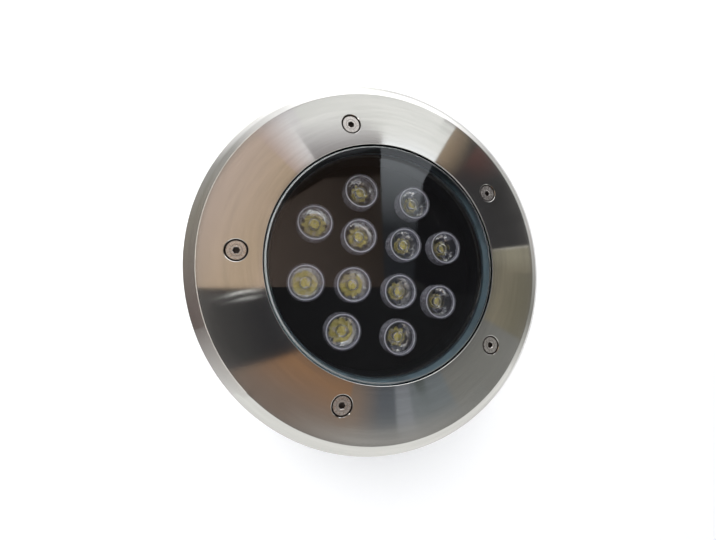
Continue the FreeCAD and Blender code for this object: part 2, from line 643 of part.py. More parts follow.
def terminal_block():
    """Terminal block with a screw well over each pole and wire entries front and back."""
    at = point(TERMINAL_X, TERMINAL_Y, 0)
    top = FLOOR_Z + TERMINAL_HEIGHT
    block = box(TERMINAL_LENGTH, TERMINAL_WIDTH, FLOOR_Z, top, at)
    cuts = []
    for pole in range(TERMINAL_POLES):
        x = terminal_pole_x(pole)
        well_foot = top - TERMINAL_SCREW_WELL_DEPTH
        cuts.append(cylinder(TERMINAL_SCREW_WELL_RADIUS, well_foot, top + CUT_MARGIN, point(x, at.y, 0)))
        for side in (-1, 1):
            face_y = at.y + side * TERMINAL_WIDTH / 2
            mouth = point(x, face_y + side * CUT_MARGIN, WIRE_ENTRY_Z)
            inward = point(0, -side, 0)
            length = TERMINAL_ENTRY_DEPTH + CUT_MARGIN
            cuts.append(Part.makeCylinder(TERMINAL_ENTRY_RADIUS, length, mouth, inward))
    return block.cut(Part.makeCompound(cuts))


def board_wire(side):
    """A wire from the driver's top, up through the wire hole and over onto the board."""
    x = side * WIRE_PAIR_SPACING / 2
    turn_z = (DRIVER_TOP_Z + LEDGE_Z) / 2
    end_z = BOARD_TOP_Z + WIRE_LIFT + WIRE_RADIUS
    route = [
        point(x, DRIVER_OFFSET_Y, DRIVER_TOP_Z),
        point(x, DRIVER_OFFSET_Y, turn_z),
        point(x, 0, turn_z),
        point(x, 0, end_z),
        point(x + side * WIRE_TAIL, 0, end_z),
    ]
    return wire_tube(route, WIRE_RADIUS, WIRE_BEND_RADIUS)


def supply_wire(pole):
    """A wire from one pole of the terminal block into the side of the driver."""
    x = terminal_pole_x(pole)
    block_face_y = TERMINAL_Y + TERMINAL_WIDTH / 2
    driver_face_y = DRIVER_OFFSET_Y - DRIVER_WIDTH / 2
    middle_y = (block_face_y + driver_face_y) / 2
    route = [
        point(x, block_face_y - TERMINAL_ENTRY_DEPTH, WIRE_ENTRY_Z),
        point(x, middle_y - WIRE_SIDESTEP / 2, WIRE_ENTRY_Z),
        point(x - WIRE_SIDESTEP, middle_y + WIRE_SIDESTEP / 2, WIRE_ENTRY_Z),
        point(x - WIRE_SIDESTEP, driver_face_y, WIRE_ENTRY_Z),
    ]
    return wire_tube(route, WIRE_RADIUS, WIRE_SIDESTEP_BEND_RADIUS)


# ---------------------------------------------------------------- cable gland
def gland_heights():
    """The gland's heights, from the housing's floor outwards and down."""
    hex_top = HOUSING_FOOT_Z - 2 * GLAND_ORING_RADIUS + GLAND_ORING_SQUEEZE
    hex_foot = hex_top - GLAND_HEX_HEIGHT
    neck_foot = hex_foot - GLAND_NECK_HEIGHT
    return hex_top, hex_foot, neck_foot


def gland_body():
    """Hexagon with a threaded spigot up through the floor and a threaded neck below."""
    at = point(0, GLAND_Y, 0)
    hex_top, hex_foot, neck_foot = gland_heights()
    spigot_top = FLOOR_Z + GLAND_LOCKNUT_HEIGHT + GLAND_THREAD_PROUD
    body = joined([
        hexagon(GLAND_HEX_FLATS, hex_foot, hex_top, at),
        cylinder(GLAND_THREAD_RADIUS, hex_top, spigot_top, at),
        cylinder(GLAND_NECK_RADIUS, neck_foot, hex_foot, at),
    ])
    return body.cut(cylinder(GLAND_BORE_RADIUS, neck_foot - CUT_MARGIN, spigot_top + CUT_MARGIN, at))


def gland_oring():
    """Sealing ring between the gland's hexagon and the housing floor."""
    hex_top = gland_heights()[0]
    centre_radius = GLAND_THREAD_RADIUS + GLAND_ORING_RADIUS + GLAND_THREAD_CLEARANCE
    section = GLAND_ORING_RADIUS - GLAND_ORING_SQUEEZE / 2
    height = (hex_top + HOUSING_FOOT_Z) / 2
    return Part.makeTorus(centre_radius, section, point(0, GLAND_Y, height))


def gland_locknut():
    """Thin nut on the spigot inside the housing."""
    at = point(0, GLAND_Y, 0)
    top = FLOOR_Z + GLAND_LOCKNUT_HEIGHT
    nut = hexagon(GLAND_LOCKNUT_FLATS, FLOOR_Z, top, at)
    hole = GLAND_THREAD_RADIUS + GLAND_THREAD_CLEARANCE
    return nut.cut(cylinder(hole, FLOOR_Z - CUT_MARGIN, top + CUT_MARGIN, at))


def gland_seal():
    """Rubber bush that grips the cable."""
    at = point(0, GLAND_Y, 0)
    foot = gland_heights()[2] - (GLAND_SEAL_LENGTH - GLAND_NECK_HEIGHT)
    outside = GLAND_BORE_RADIUS - GLAND_SEAL_CLEARANCE
    seal = cylinder(outside, foot, foot + GLAND_SEAL_LENGTH, at)
    return seal.cut(cylinder(CABLE_BORE_RADIUS, foot - CUT_MARGIN, foot + GLAND_SEAL_LENGTH + CUT_MARGIN, at))


def gland_nut():
    """Domed nut over the neck; it ends in the cable's mouth."""
    at = point(0, GLAND_Y, 0)
    hex_foot, neck_foot = gland_heights()[1:]
    top = hex_foot - GLAND_THREAD_PROUD / 2
    foot = top - GLAND_NUT_HEIGHT
    hexagon_foot = top - GLAND_NUT_HEX_HEIGHT
    dome_shoulder = GLAND_NUT_FLATS / 2
    dome = turned([
        (0, foot),
        (GLAND_NUT_DOME_RADIUS, foot),
        (dome_shoulder, hexagon_foot),
        (0, hexagon_foot),
    ])
    dome.translate(at)
    nut = joined([hexagon(GLAND_NUT_FLATS, hexagon_foot, top, at), dome])
    thread = cylinder(GLAND_NECK_RADIUS + GLAND_THREAD_CLEARANCE, neck_foot, top + CUT_MARGIN, at)
    seal_foot = neck_foot - (GLAND_SEAL_LENGTH - GLAND_NECK_HEIGHT)
    pocket = cylinder(GLAND_BORE_RADIUS, seal_foot, top + CUT_MARGIN, at)
    mouth = cylinder(GLAND_NUT_MOUTH_RADIUS, foot - CUT_MARGIN, top + CUT_MARGIN, at)
    return nut.cut(Part.makeCompound([thread, pocket, mouth]))


# ---------------------------------------------------------------- ground sleeve
def ground_sleeve():
    """Plastic tube that stays in the ground, with a rim under the cover ring and cable notches."""
    outside = SLEEVE_BARREL_RADIUS
    lip = SLEEVE_BORE_RADIUS - SLEEVE_FOOT_LIP
    rim_foot = SLEEVE_HEIGHT - SLEEVE_FLANGE_THICKNESS
    sleeve = turned([
        (lip, 0),
        (outside, 0),
        (outside, rim_foot),
        (SLEEVE_FLANGE_RADIUS, rim_foot),
        (SLEEVE_FLANGE_RADIUS, SLEEVE_HEIGHT),
        (SLEEVE_BORE_RADIUS, SLEEVE_HEIGHT),
        (SLEEVE_BORE_RADIUS, SLEEVE_WALL),
        (lip, SLEEVE_WALL),
    ])
    notch_reach = outside - lip + 2 * CUT_MARGIN
    arch_z = SLEEVE_NOTCH_HEIGHT - SLEEVE_NOTCH_RADIUS
    for angle in SLEEVE_NOTCH_ANGLES:
        middle = point(lip - CUT_MARGIN + notch_reach / 2, 0, 0)
        slot = box(notch_reach, 2 * SLEEVE_NOTCH_RADIUS, -CUT_MARGIN, arch_z, middle)
        arch_start = point(lip - CUT_MARGIN, 0, arch_z)
        arch = Part.makeCylinder(SLEEVE_NOTCH_RADIUS, notch_reach, arch_start, point(1, 0, 0))
        notch = slot.fuse(arch)
        notch.rotate(ORIGIN, Z_AXIS, angle)
        sleeve = sleeve.cut(notch)
    return sleeve


# ---------------------------------------------------------------- all the pieces
def all_pieces():
    """Every node's name and shape."""
    pieces = {
        "ground_sleeve": ground_sleeve(),
        "cover_ring": cover_ring(),
        "cover_screws": cover_screws(),
        "window_glass": window_glass(),
        "glass_gasket": glass_gasket(),
        "lamp_housing": lamp_housing(),
        "front_plate": front_plate(),
        "led_board": led_board(),
        "thermal_pad": thermal_pad(),
        "carrier_plate": carrier_plate(),
        "board_screws": small_screws(board_screw_points(), BOARD_TOP_Z, BOARD_SCREW_LENGTH),
        "carrier_screws": small_screws(carrier_screw_points(), CARRIER_TOP_Z, CARRIER_SCREW_LENGTH),
        "led_driver": led_driver(),
        "driver_screws": small_screws(
            driver_screw_points(), FLOOR_Z + DRIVER_TAB_THICKNESS, DRIVER_SCREW_LENGTH
        ),
        "terminal_block": terminal_block(),
        "board_wire_red": board_wire(1),
        "board_wire_black": board_wire(-1),
        "supply_wire_brown": supply_wire(0),
        "supply_wire_blue": supply_wire(1),
        "gland_body": gland_body(),
        "gland_oring": gland_oring(),
        "gland_locknut": gland_locknut(),
        "gland_seal": gland_seal(),
        "gland_nut": gland_nut(),
    }
    for number, place in enumerate(light_points(), start=1):
        pieces[f"lens_holder_{number:02d}"] = lens_holder(place)
        pieces[f"collimator_lens_{number:02d}"] = collimator_lens(place)
        pieces[f"led_emitter_{number:02d}"] = led_emitter(place)
    return pieces


def main():
    """Writes one STEP file for each node."""
    os.makedirs("parts", exist_ok=True)
    for name, shape in all_pieces().items():
        if not shape.isValid():
            raise ValueError(f"{name} is not a valid solid")
        shape.exportStep(f"parts/{name}.step")


main()
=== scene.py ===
"""Looks of the in-ground well light: finishes, detailed pieces, studio and camera.

Everything is in metres in the part's own frame: +Z up, origin at the middle of the sleeve's foot.
"""

import logging
import math
from dataclasses import dataclass
from enum import Enum

import bmesh
import bpy
from mathutils import Matrix, Vector


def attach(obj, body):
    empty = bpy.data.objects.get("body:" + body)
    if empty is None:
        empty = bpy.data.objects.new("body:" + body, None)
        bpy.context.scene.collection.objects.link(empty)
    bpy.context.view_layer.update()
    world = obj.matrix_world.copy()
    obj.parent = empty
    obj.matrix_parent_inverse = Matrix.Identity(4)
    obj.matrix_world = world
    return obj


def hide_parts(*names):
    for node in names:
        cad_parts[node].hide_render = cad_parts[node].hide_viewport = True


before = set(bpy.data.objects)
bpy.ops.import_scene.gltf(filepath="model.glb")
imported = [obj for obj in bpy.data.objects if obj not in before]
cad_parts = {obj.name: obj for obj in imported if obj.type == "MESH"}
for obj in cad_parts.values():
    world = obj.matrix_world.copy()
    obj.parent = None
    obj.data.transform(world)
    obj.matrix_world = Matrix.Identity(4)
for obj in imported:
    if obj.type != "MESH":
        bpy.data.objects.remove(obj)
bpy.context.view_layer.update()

log = logging.getLogger("well_light")

Colour = tuple[float, float, float]
Place = tuple[float, float, float]
Spot = tuple[float, float]
Profile = list[tuple[float, float]]
Socket = bpy.types.NodeSocket
Value = Socket | float | tuple
Thing = bpy.types.Object
Finish = bpy.types.Material

MM = 0.001
FULL_TURN = 2.0 * math.pi
FACE_Z = 0.112
EYE = (-0.0588, -0.0039, FACE_Z + 0.1417)
OWN_PLACE = "own_place"
HOLE_SHARE = "hole_share"


# ---------------------------------------------------------------- names of bodies and options
class Body(Enum):
    """The bodies that pieces ride on."""

    SLEEVE = "sleeve"
    LAMP = "lamp"
    COVER = "cover"


class Fade(Enum):
    """How a studio card passes from its first colour to its second."""

    NONE = "none"
    ACROSS = "straight from one point to another"
    ROUND = "from one angle to another"


# ---------------------------------------------------------------- node trees
class Board:
    """A short way to lay out the nodes of one material or geometry tree."""

    def __init__(self, tree: bpy.types.NodeTree) -> None:
        """Empties the tree and keeps it.

        Args:
            tree: The node tree to fill.
        """
        tree.nodes.clear()
        self.tree = tree

    def add(self, kind: str, values: dict | None = None, **settings: object) -> bpy.types.Node:
        """Adds a node.

        Args:
            kind: The node's type name.
            values: Socket name or number to a value or to the output socket that feeds it.
            **settings: Properties of the node itself.

        Returns:
            The new node.
        """
        node = self.tree.nodes.new(kind)
        for name, value in settings.items():
            setattr(node, name, value)
        for socket, value in (values or {}).items():
            self.feed(node.inputs[socket], value)
        return node

    def feed(self, socket: Socket, value: Value) -> None:
        """Links an output socket to an input, or sets the input's own value.

        Args:
            socket: The input socket.
            value: An output socket or a plain value.
        """
        if isinstance(value, Socket):
            self.tree.links.new(value, socket)
        elif isinstance(value, tuple) and len(value) == 3 and socket.type == "RGBA":
            socket.default_value = (*value, 1.0)
        else:
            socket.default_value = value

    def math(self, operation: str, a: Value, b: Value = 0.0, clamp: bool = False) -> Socket:
        """Adds a math node.

        Args:
            operation: The math node's operation.
            a: First value or socket.
            b: Second value or socket.
            clamp: Whether the result is held between 0 and 1.

        Returns:
            The result's socket.
        """
        return self.add("ShaderNodeMath", {0: a, 1: b}, operation=operation, use_clamp=clamp).outputs[0]


class MaterialBoard(Board):
    """Board for a surface material, with the patterns that the finishes share."""

    def __init__(self, name: str) -> None:
        """Makes the material.

        Args:
            name: The material's name.
        """
        self.material = bpy.data.materials.new(name)
        self.material.use_nodes = True
        super().__init__(self.material.node_tree)
        self.output = self.add("ShaderNodeOutputMaterial")
        self.place = self.add("ShaderNodeTexCoord").outputs["Object"]

    def principled(self, values: dict) -> bpy.types.Node:
        """Adds the main shader and shows it.

        Args:
            values: Socket name to value or feeding socket.

        Returns:
            The shader node.
        """
        shader = self.add("ShaderNodeBsdfPrincipled", values)
        self.show(shader.outputs[0])
        return shader

    def show(self, shader: Socket) -> None:
        """Makes a shader the surface of the material."""
        self.tree.links.new(shader, self.output.inputs["Surface"])

    def show_clear(self, shader: Socket, tint: Colour) -> None:
        """Shows a clear shader that lets lamp light straight through.

        Args:
            shader: The clear shader's output.
            tint: The tint that the light takes.
        """
        lamp_ray = self.add("ShaderNodeLightPath").outputs["Is Shadow Ray"]
        through = self.add("ShaderNodeBsdfTransparent", {"Color": tint}).outputs[0]
        self.show(self.add("ShaderNodeMixShader", {0: lamp_ray, 1: shader, 2: through}).outputs[0])

    def noise(
        self, scale: float, detail: float = 3.0, place: Socket | None = None, roughness: float = 0.55
    ) -> Socket:
        """Adds a noise pattern.

        Args:
            scale: Cells per metre.
            detail: Octaves of finer noise.
            place: Where to read it; the object's own coordinates if left out.
            roughness: Share that the finer octaves keep.

        Returns:
            The noise's value, 0 to 1.
        """
        values = {"Vector": place or self.place, "Scale": scale, "Detail": detail, "Roughness": roughness}
        return self.add("ShaderNodeTexNoise", values).outputs["Fac"]

    def blend_colours(self, share: Value, first: Value, second: Value) -> Socket:
        """Mixes two colours.

        Args:
            share: How much of the second, as a value or a socket.
            first: Colour or socket.
            second: Colour or socket.

        Returns:
            The mixed colour.
        """
        mix = self.add("ShaderNodeMix", data_type="RGBA")
        self.feed(mix.inputs[0], share)
        self.feed(mix.inputs[6], first)
        self.feed(mix.inputs[7], second)
        return mix.outputs[2]

    def span(
        self, value: Socket, low: float, high: float, to_low: float = 0.0, to_high: float = 1.0
    ) -> Socket:
        """Maps a value from one range to another and holds it there.

        Args:
            value: The value's socket.
            low: Start of the range read.
            high: End of the range read.
            to_low: What low becomes.
            to_high: What high becomes.

        Returns:
            The mapped value.
        """
        values = {"Value": value, "From Min": low, "From Max": high, "To Min": to_low, "To Max": to_high}
        return self.add("ShaderNodeMapRange", values).outputs["Result"]

    def plus(self, *values: Value) -> Value:
        """Adds values up.

        Args:
            *values: Two or more sockets or numbers.

        Returns:
            Their sum.
        """
        total = values[0]
        for value in values[1:]:
            total = self.math("ADD", total, value)
        return total

    def step(self, value: Socket, start: float, width: float) -> Socket:
        """Rises from 0 to 1 where a value passes a limit.

        Args:
            value: The value's socket.
            start: Where the rise begins.
            width: How far it takes.

        Returns:
            The share, 0 to 1.
        """
        return self.span(value, start, start + width)

    def bump(self, height: Socket, strength: float, depth: float, under: Socket | None = None) -> Socket:
        """Adds surface relief.

        Args:
            height: The relief's height, 0 to 1.
            strength: Share of the relief that shows.
            depth: The relief's depth in metres.
            under: Relief that this one is laid over.

        Returns:
            The surface normal.
        """
        values = {"Height": height, "Strength": strength, "Distance": depth}
        if under is not None:
            values["Normal"] = under
        return self.add("ShaderNodeBump", values).outputs["Normal"]

    def own_place(self) -> Socket:
        """Place on the single copy, measured from its own axis, for pieces that are repeated."""
        return self.add("ShaderNodeAttribute", attribute_name=OWN_PLACE).outputs["Vector"]

    def stretched(self, place: Socket, stretch: Place) -> Socket:
        """Coordinates scaled along each axis, for patterns with a direction.

        Args:
            place: The coordinates.
            stretch: Factor along x, y and z.

        Returns:
            The scaled coordinates.
        """
        return self.add("ShaderNodeVectorMath", {0: place, 1: stretch}, operation="MULTIPLY").outputs[0]

    def radius_of(self, place: Socket) -> Socket:
        """Distance from the upright axis through the origin.

        Args:
            place: The coordinates to measure.

        Returns:
            The distance in metres.
        """
        flat = self.stretched(place, (1.0, 1.0, 0.0))
        return self.add("ShaderNodeVectorMath", {0: flat}, operation="LENGTH").outputs["Value"]

    def height_of(self, place: Socket) -> Socket:
        """Height part of some coordinates."""
        return self.add("ShaderNodeSeparateXYZ", {0: place}).outputs["Z"]

    def turned_place(self, radial_scale: float, around_scale: float) -> Socket:
        """Coordinates that run out from the centre and round it, for turning and brushing marks.

        Args:
            radial_scale: Cells per metre outwards.
            around_scale: Cells per turn round the centre.

        Returns:
            The coordinates as a vector socket.
        """
        parts = self.add("ShaderNodeSeparateXYZ", {0: self.place})
        radius = self.radius_of(self.place)
        angle = self.math("ARCTAN2", parts.outputs["Y"], parts.outputs["X"])
        turn_x = self.math("MULTIPLY", self.math("COSINE", angle), around_scale)
        turn_y = self.math("MULTIPLY", self.math("SINE", angle), around_scale)
        out = self.math("MULTIPLY", radius, radial_scale)
        return self.add("ShaderNodeCombineXYZ", {0: turn_x, 1: turn_y, 2: out}).outputs[0]


# ---------------------------------------------------------------- finishes
@dataclass(frozen=True)
class TurnedSteel:
    """Stainless steel turned and brushed round the lamp's middle."""

    name: str = "turned_steel"
    bright: Colour = (0.67, 0.665, 0.65)
    dull: Colour = (0.62, 0.615, 0.60)
    # Near-black colour of the painted shade with dirt inside the screw holes.
    grime_and_shade: Colour = (0.035, 0.028, 0.024)
    roughness: float = 0.078
    hole_roughness: float = 0.3
    smear: float = 0.95
    fine_marks: float = 5200.0
    groove_marks: float = 900.0
    broad_marks: float = 420.0
    stain_scale: float = 34.0
    fine_depth: float = 0.01 * MM
    groove_depth: float = 0.008 * MM

    def make(self) -> Finish:
        """Builds the material.

        Returns:
            The material.
        """
        board = MaterialBoard(self.name)
        fine = board.noise(1.0, 5.0, board.turned_place(self.fine_marks, 7.0), 0.7)
        broad = board.noise(1.0, 3.0, board.turned_place(self.broad_marks, 2.2), 0.6)
        grooves = board.noise(1.0, 2.0, board.turned_place(self.groove_marks, 3.0), 0.5)
        stains = board.noise(self.stain_scale, 4.0)
        colour = board.blend_colours(board.span(broad, 0.3, 0.7), self.dull, self.bright)
        # Painted shade with dirt: faces inside the screw holes take a near-black colour and a rougher gloss.
        hole = board.add("ShaderNodeAttribute", attribute_name=HOLE_SHARE).outputs["Fac"]
        colour = board.blend_colours(hole, colour, self.grime_and_shade)
        rough = board.plus(
            board.span(stains, 0.35, 0.7, -0.004, 0.014), self.roughness,
            board.span(broad, 0.3, 0.7, 0.006, -0.006), board.math("MULTIPLY", hole, self.hole_roughness))
        normal = board.bump(fine, 0.06, self.fine_depth, board.bump(grooves, 0.6, self.groove_depth))
        tangent = board.add("ShaderNodeTangent", direction_type="RADIAL", axis="Z")
        board.principled({
            "Base Color": colour, "Metallic": 1.0, "Roughness": rough, "Normal": normal,
            "Anisotropic": self.smear, "Anisotropic Rotation": 0.25, "Tangent": tangent.outputs[0],
        })
        return board.material


@dataclass(frozen=True)
class PlainMetal:
    """Metal with fine grain, patches of dull skin and a chosen relief."""

    name: str
    bright: Colour
    dull: Colour
    roughness: float = 0.3
    grain_scale: float = 900.0
    grain_depth: float = 0.03 * MM
    patch_scale: float = 60.0

    def make(self) -> Finish:
        """Builds the material.

        Returns:
            The material.
        """
        board = MaterialBoard(self.name)
        patches = board.noise(self.patch_scale, 4.0)
        grain = board.noise(self.grain_scale, 3.0)
        colour = board.blend_colours(board.span(patches, 0.35, 0.65), self.dull, self.bright)
        rough = board.plus(board.span(grain, 0.3, 0.7, -0.06, 0.08), self.roughness)
        normal = board.bump(grain, 0.3, self.grain_depth)
        board.principled({"Base Color": colour, "Metallic": 1.0, "Roughness": rough, "Normal": normal})
        return board.material


@dataclass(frozen=True)
class TurnedScrewHead:
    """Screw steel with concentric tool marks on the head, painted shade in the socket, and painted shade with
    dirt at the rim.
    """

    name: str = "turned_screw_head"
    bright: Colour = (0.72, 0.69, 0.67)
    dull: Colour = (0.52, 0.49, 0.47)
    # Near-black colour of the painted shade with dirt at the rim and in the socket.
    grime_and_shade: Colour = (0.030, 0.022, 0.020)
    rim_radius: float = 4.42 * MM
    rim_width: float = 0.12 * MM
    mark_radius: float = 2.75 * MM
    mark_width: float = 0.3 * MM
    socket_from_z: float = 111.67 * MM
    socket_fade: float = 0.17 * MM
    ring_marks: float = 4200.0
    ring_depth: float = 0.02 * MM
    roughness: float = 0.27

    def make(self) -> Finish:
        """Builds the material.

        Returns:
            The material.
        """
        board = MaterialBoard(self.name)
        place = board.own_place()
        radius = board.radius_of(place)
        outwards = board.math("MULTIPLY", radius, self.ring_marks)
        rings = board.noise(1.0, 3.0, board.add("ShaderNodeCombineXYZ", {2: outwards}).outputs[0], 0.6)
        patches = board.noise(700.0, 3.0)
        colour = board.blend_colours(board.span(rings, 0.35, 0.65), self.dull, self.bright)
        from_mark = board.math("ABSOLUTE", board.math("SUBTRACT", radius, self.mark_radius))
        groove = board.span(from_mark, 0.0, self.mark_width, 0.55, 0.0)
        # Painted shade with dirt: a dark ring at the head's rim, where it meets the countersink.
        rim = board.span(radius, self.rim_radius, self.rim_radius + self.rim_width, 0.0, 0.9)
        # Painted shade: the hexagon socket darkens below its mouth.
        socket_top = self.socket_from_z
        sunk = board.span(
            board.height_of(place), socket_top - self.socket_fade, socket_top, 0.92, 0.0)
        # dark joins the tool-mark groove with the painted shade at the rim and in the socket.
        dark = board.math("MAXIMUM", board.math("MAXIMUM", groove, rim), sunk)
        colour = board.blend_colours(dark, colour, self.grime_and_shade)
        rough = board.plus(
            board.span(patches, 0.3, 0.7, -0.05, 0.08), self.roughness, board.math("MULTIPLY", dark, 0.25))
        normal = board.bump(rings, 0.35, self.ring_depth)
        board.principled({"Base Color": colour, "Metallic": 1.0, "Roughness": rough, "Normal": normal})
        return board.material


@dataclass(frozen=True)
class MouldedPlastic:
    """Moulded plastic or rubber with a fine spark-eroded grain."""

    name: str
    base: Colour
    worn: Colour
    roughness: float = 0.5
    grain_scale: float = 1600.0
    grain_depth: float = 0.03 * MM
    gloss_patches: float = 0.06
    shine: float = 0.5
    grain_strength: float = 0.35
    patch_scale: float = 45.0

    def make(self) -> Finish:
        """Builds the material.

        Returns:
            The material.
        """
        board = MaterialBoard(self.name)
        patches = board.noise(self.patch_scale, 4.0)
        grain = board.noise(self.grain_scale, 2.0)
        colour = board.blend_colours(board.span(patches, 0.4, 0.75), self.base, self.worn)
        rough = board.plus(
            board.span(patches, 0.3, 0.7, -self.gloss_patches, self.gloss_patches), self.roughness)
        normal = board.bump(grain, self.grain_strength, self.grain_depth)
        board.principled({
            "Base Color": colour, "Roughness": rough, "Normal": normal, "Specular IOR Level": self.shine,
        })
        return board.material


@dataclass(frozen=True)
class ClearGlass:
    """Polished glass or clear acrylic with a ground edge."""

    name: str
    tint: Colour = (0.93, 0.97, 0.96)
    ior: float = 1.5
    wave_scale: float = 60.0
    wave_depth: float = 0.002 * MM
    ground_from_radius: float = 63.6 * MM
    ground_from_z: float = 110.55 * MM
    ground_fade: float = 0.05 * MM
    ground_colour: Colour = (0.62, 0.66, 0.66)
    ground_share: float = 0.55
    ground_roughness: float = 0.3
    smear_share: float = 0.96
    repeated: bool = False

    def make(self) -> Finish:
        """Builds the material.

        Returns:
            The material.
        """
        board = MaterialBoard(self.name)
        place = board.own_place() if self.repeated else board.place
        smears = board.noise(26.0, 5.0)
        waves = board.noise(self.wave_scale, 2.0)
        outer = board.step(board.radius_of(place), self.ground_from_radius, self.ground_fade)
        upper = board.step(board.height_of(place), self.ground_from_z, self.ground_fade)
        ground = board.math("MULTIPLY", outer, upper)
        dusty = tuple(self.smear_share * part for part in self.tint)
        tint = board.blend_colours(board.span(smears, 0.45, 0.75), self.tint, dusty)
        tint = board.blend_colours(ground, tint, self.ground_colour)
        clear_share = board.math("SUBTRACT", 1.0, board.math("MULTIPLY", ground, self.ground_share))
        glass = board.principled({
            "Base Color": tint, "Roughness": board.math("MULTIPLY", ground, self.ground_roughness),
            "IOR": self.ior, "Transmission Weight": clear_share,
            "Normal": board.bump(waves, 1.0, self.wave_depth),
        })
        board.show_clear(glass.outputs[0], self.tint)
        return board.material


@dataclass(frozen=True)
class CupPlastic:
    """Slightly smoky clear plastic of the lens cups, with faint draw marks."""

    name: str = "cup_plastic"
    clear: Colour = (0.72, 0.69, 0.75)
    cloudy: Colour = (0.29, 0.27, 0.30)
    rim_from_z: float = 92.6 * MM
    rim_fade: float = 0.2 * MM
    draw_scale: float = 700.0
    draw_depth: float = 0.05 * MM
    ior: float = 1.46

    def make(self) -> Finish:
        """Builds the material.

        Returns:
            The material.
        """
        board = MaterialBoard(self.name)
        draw_marks = board.noise(self.draw_scale, 2.0, board.stretched(board.own_place(), (1.0, 1.0, 0.12)))
        rim = board.step(board.height_of(board.place), self.rim_from_z, self.rim_fade)
        body = board.blend_colours(board.span(draw_marks, 0.35, 0.65, 0.0, 0.5), self.cloudy, self.clear)
        colour = board.blend_colours(rim, body, self.clear)
        cup = board.principled({
            "Base Color": colour, "Roughness": board.span(rim, 0.0, 1.0, 0.16, 0.03), "IOR": self.ior,
            "Transmission Weight": board.span(rim, 0.0, 1.0, 0.62, 0.97),
            "Normal": board.bump(draw_marks, 0.4, self.draw_depth),
        })
        board.show_clear(cup.outputs[0], self.clear)
        return board.material


@dataclass(frozen=True)
class DiodeFace:
    """Grey diode base with a mottled yellow phosphor dome, told apart by height."""

    name: str = "diode_face"
    dome_from_z: float = 82.58 * MM
    dome_fade: float = 0.04 * MM
    speckle_scale: float = 1500.0
    cloud_scale: float = 620.0
    phosphor: Colour = (0.98, 0.82, 0.24)
    shaded: Colour = (0.58, 0.43, 0.06)
    milky: Colour = (0.88, 0.78, 0.86)
    base: Colour = (0.16, 0.16, 0.17)

    def make(self) -> Finish:
        """Builds the material.

        Returns:
            The material.
        """
        board = MaterialBoard(self.name)
        dome = board.step(board.height_of(board.place), self.dome_from_z, self.dome_fade)
        speckle = board.noise(self.speckle_scale, 2.0)
        cloud = board.noise(self.cloud_scale, 2.0)
        yellow = board.blend_colours(board.span(speckle, 0.40, 0.62), self.phosphor, self.shaded)
        yellow = board.blend_colours(board.span(cloud, 0.52, 0.64, 0.0, 0.7), yellow, self.milky)
        colour = board.blend_colours(dome, self.base, yellow)
        rough = board.span(speckle, 0.3, 0.7, 0.25, 0.40)
        normal = board.bump(speckle, 0.2, 0.03 * MM)
        board.principled({"Base Color": colour, "Roughness": rough, "Normal": normal})
        return board.material


@dataclass(frozen=True)
class GasketSilicone:
    """Blue-grey silicone with random darker dusty patches, and painted shade that darkens it towards its
    inner edge.
    """

    name: str = "gasket_silicone"
    pale: Colour = (0.62, 0.75, 0.82)
    dark: Colour = (0.020, 0.030, 0.040)
    lip_radius: float = 62.9 * MM
    pale_radius: float = 63.9 * MM
    grain_depth: float = 0.03 * MM
    shine: float = 0.06

    def make(self) -> Finish:
        """Builds the material.

        Returns:
            The material.
        """
        board = MaterialBoard(self.name)
        grain = board.noise(900.0, 2.0)
        cloud = board.noise(70.0, 4.0)
        # Painted shade: the colour darkens from the pale radius in to the lip's inner edge.
        reach = board.span(board.radius_of(board.place), self.lip_radius, self.pale_radius)
        colour = board.blend_colours(reach, self.dark, self.pale)
        colour = board.blend_colours(board.span(cloud, 0.4, 0.7, 0.0, 0.25), colour, self.dark)
        rough = board.span(cloud, 0.3, 0.7, 0.55, 0.7)
        board.principled({
            "Base Color": colour, "Roughness": rough, "Specular IOR Level": self.shine,
            "Normal": board.bump(grain, 0.3, self.grain_depth),
        })
        return board.material


@dataclass(frozen=True)
class CastAluminium:
    """Blasted die-cast aluminium, darker in its pits, with painted shade that makes the bore above the ledge
    near black.
    """

    name: str = "cast_aluminium"
    bright: Colour = (0.56, 0.57, 0.58)
    dull: Colour = (0.44, 0.45, 0.46)
    pits: Colour = (0.22, 0.22, 0.23)
    # Near-black colour of the painted shade in the bore.
    bore_shade_colour: Colour = (0.006, 0.006, 0.007)
    bore_radius: float = 63.5 * MM
    bore_from_z: float = 70.5 * MM
    bore_fade: float = 0.1 * MM
    sand_scale: float = 1500.0
    sand_depth: float = 0.08 * MM
    flow_scale: float = 40.0
    metallic: float = 0.85
    shine: float = 0.01

    def make(self) -> Finish:
        """Builds the material.

        Returns:
            The material.
        """
        board = MaterialBoard(self.name)
        # Painted shade: inside the bore and above the ledge the cast turns near black, matt and not metallic.
        inside = board.span(
            board.radius_of(board.place), self.bore_radius, self.bore_radius + self.bore_fade, 1.0, 0.0)
        above = board.step(board.height_of(board.place), self.bore_from_z, self.bore_fade)
        painted = board.math("MULTIPLY", inside, above)
        sand = board.noise(self.sand_scale, 3.0)
        flow = board.noise(self.flow_scale, 4.0)
        colour = board.blend_colours(board.span(flow, 0.3, 0.7), self.dull, self.bright)
        colour = board.blend_colours(board.span(sand, 0.35, 0.5, 0.35, 0.0), colour, self.pits)
        colour = board.blend_colours(painted, colour, self.bore_shade_colour)
        rough = board.plus(
            board.span(sand, 0.3, 0.7, 0.5, 0.36), board.span(flow, 0.3, 0.7, 0.0, 0.08),
            board.math("MULTIPLY", painted, 0.3))
        metal = board.math("SUBTRACT", self.metallic, board.math("MULTIPLY", painted, self.metallic))
        board.principled({
            "Base Color": colour, "Metallic": metal, "Roughness": rough,
            "Normal": board.bump(sand, 0.5, self.sand_depth), "Specular IOR Level": self.shine,
        })
        return board.material


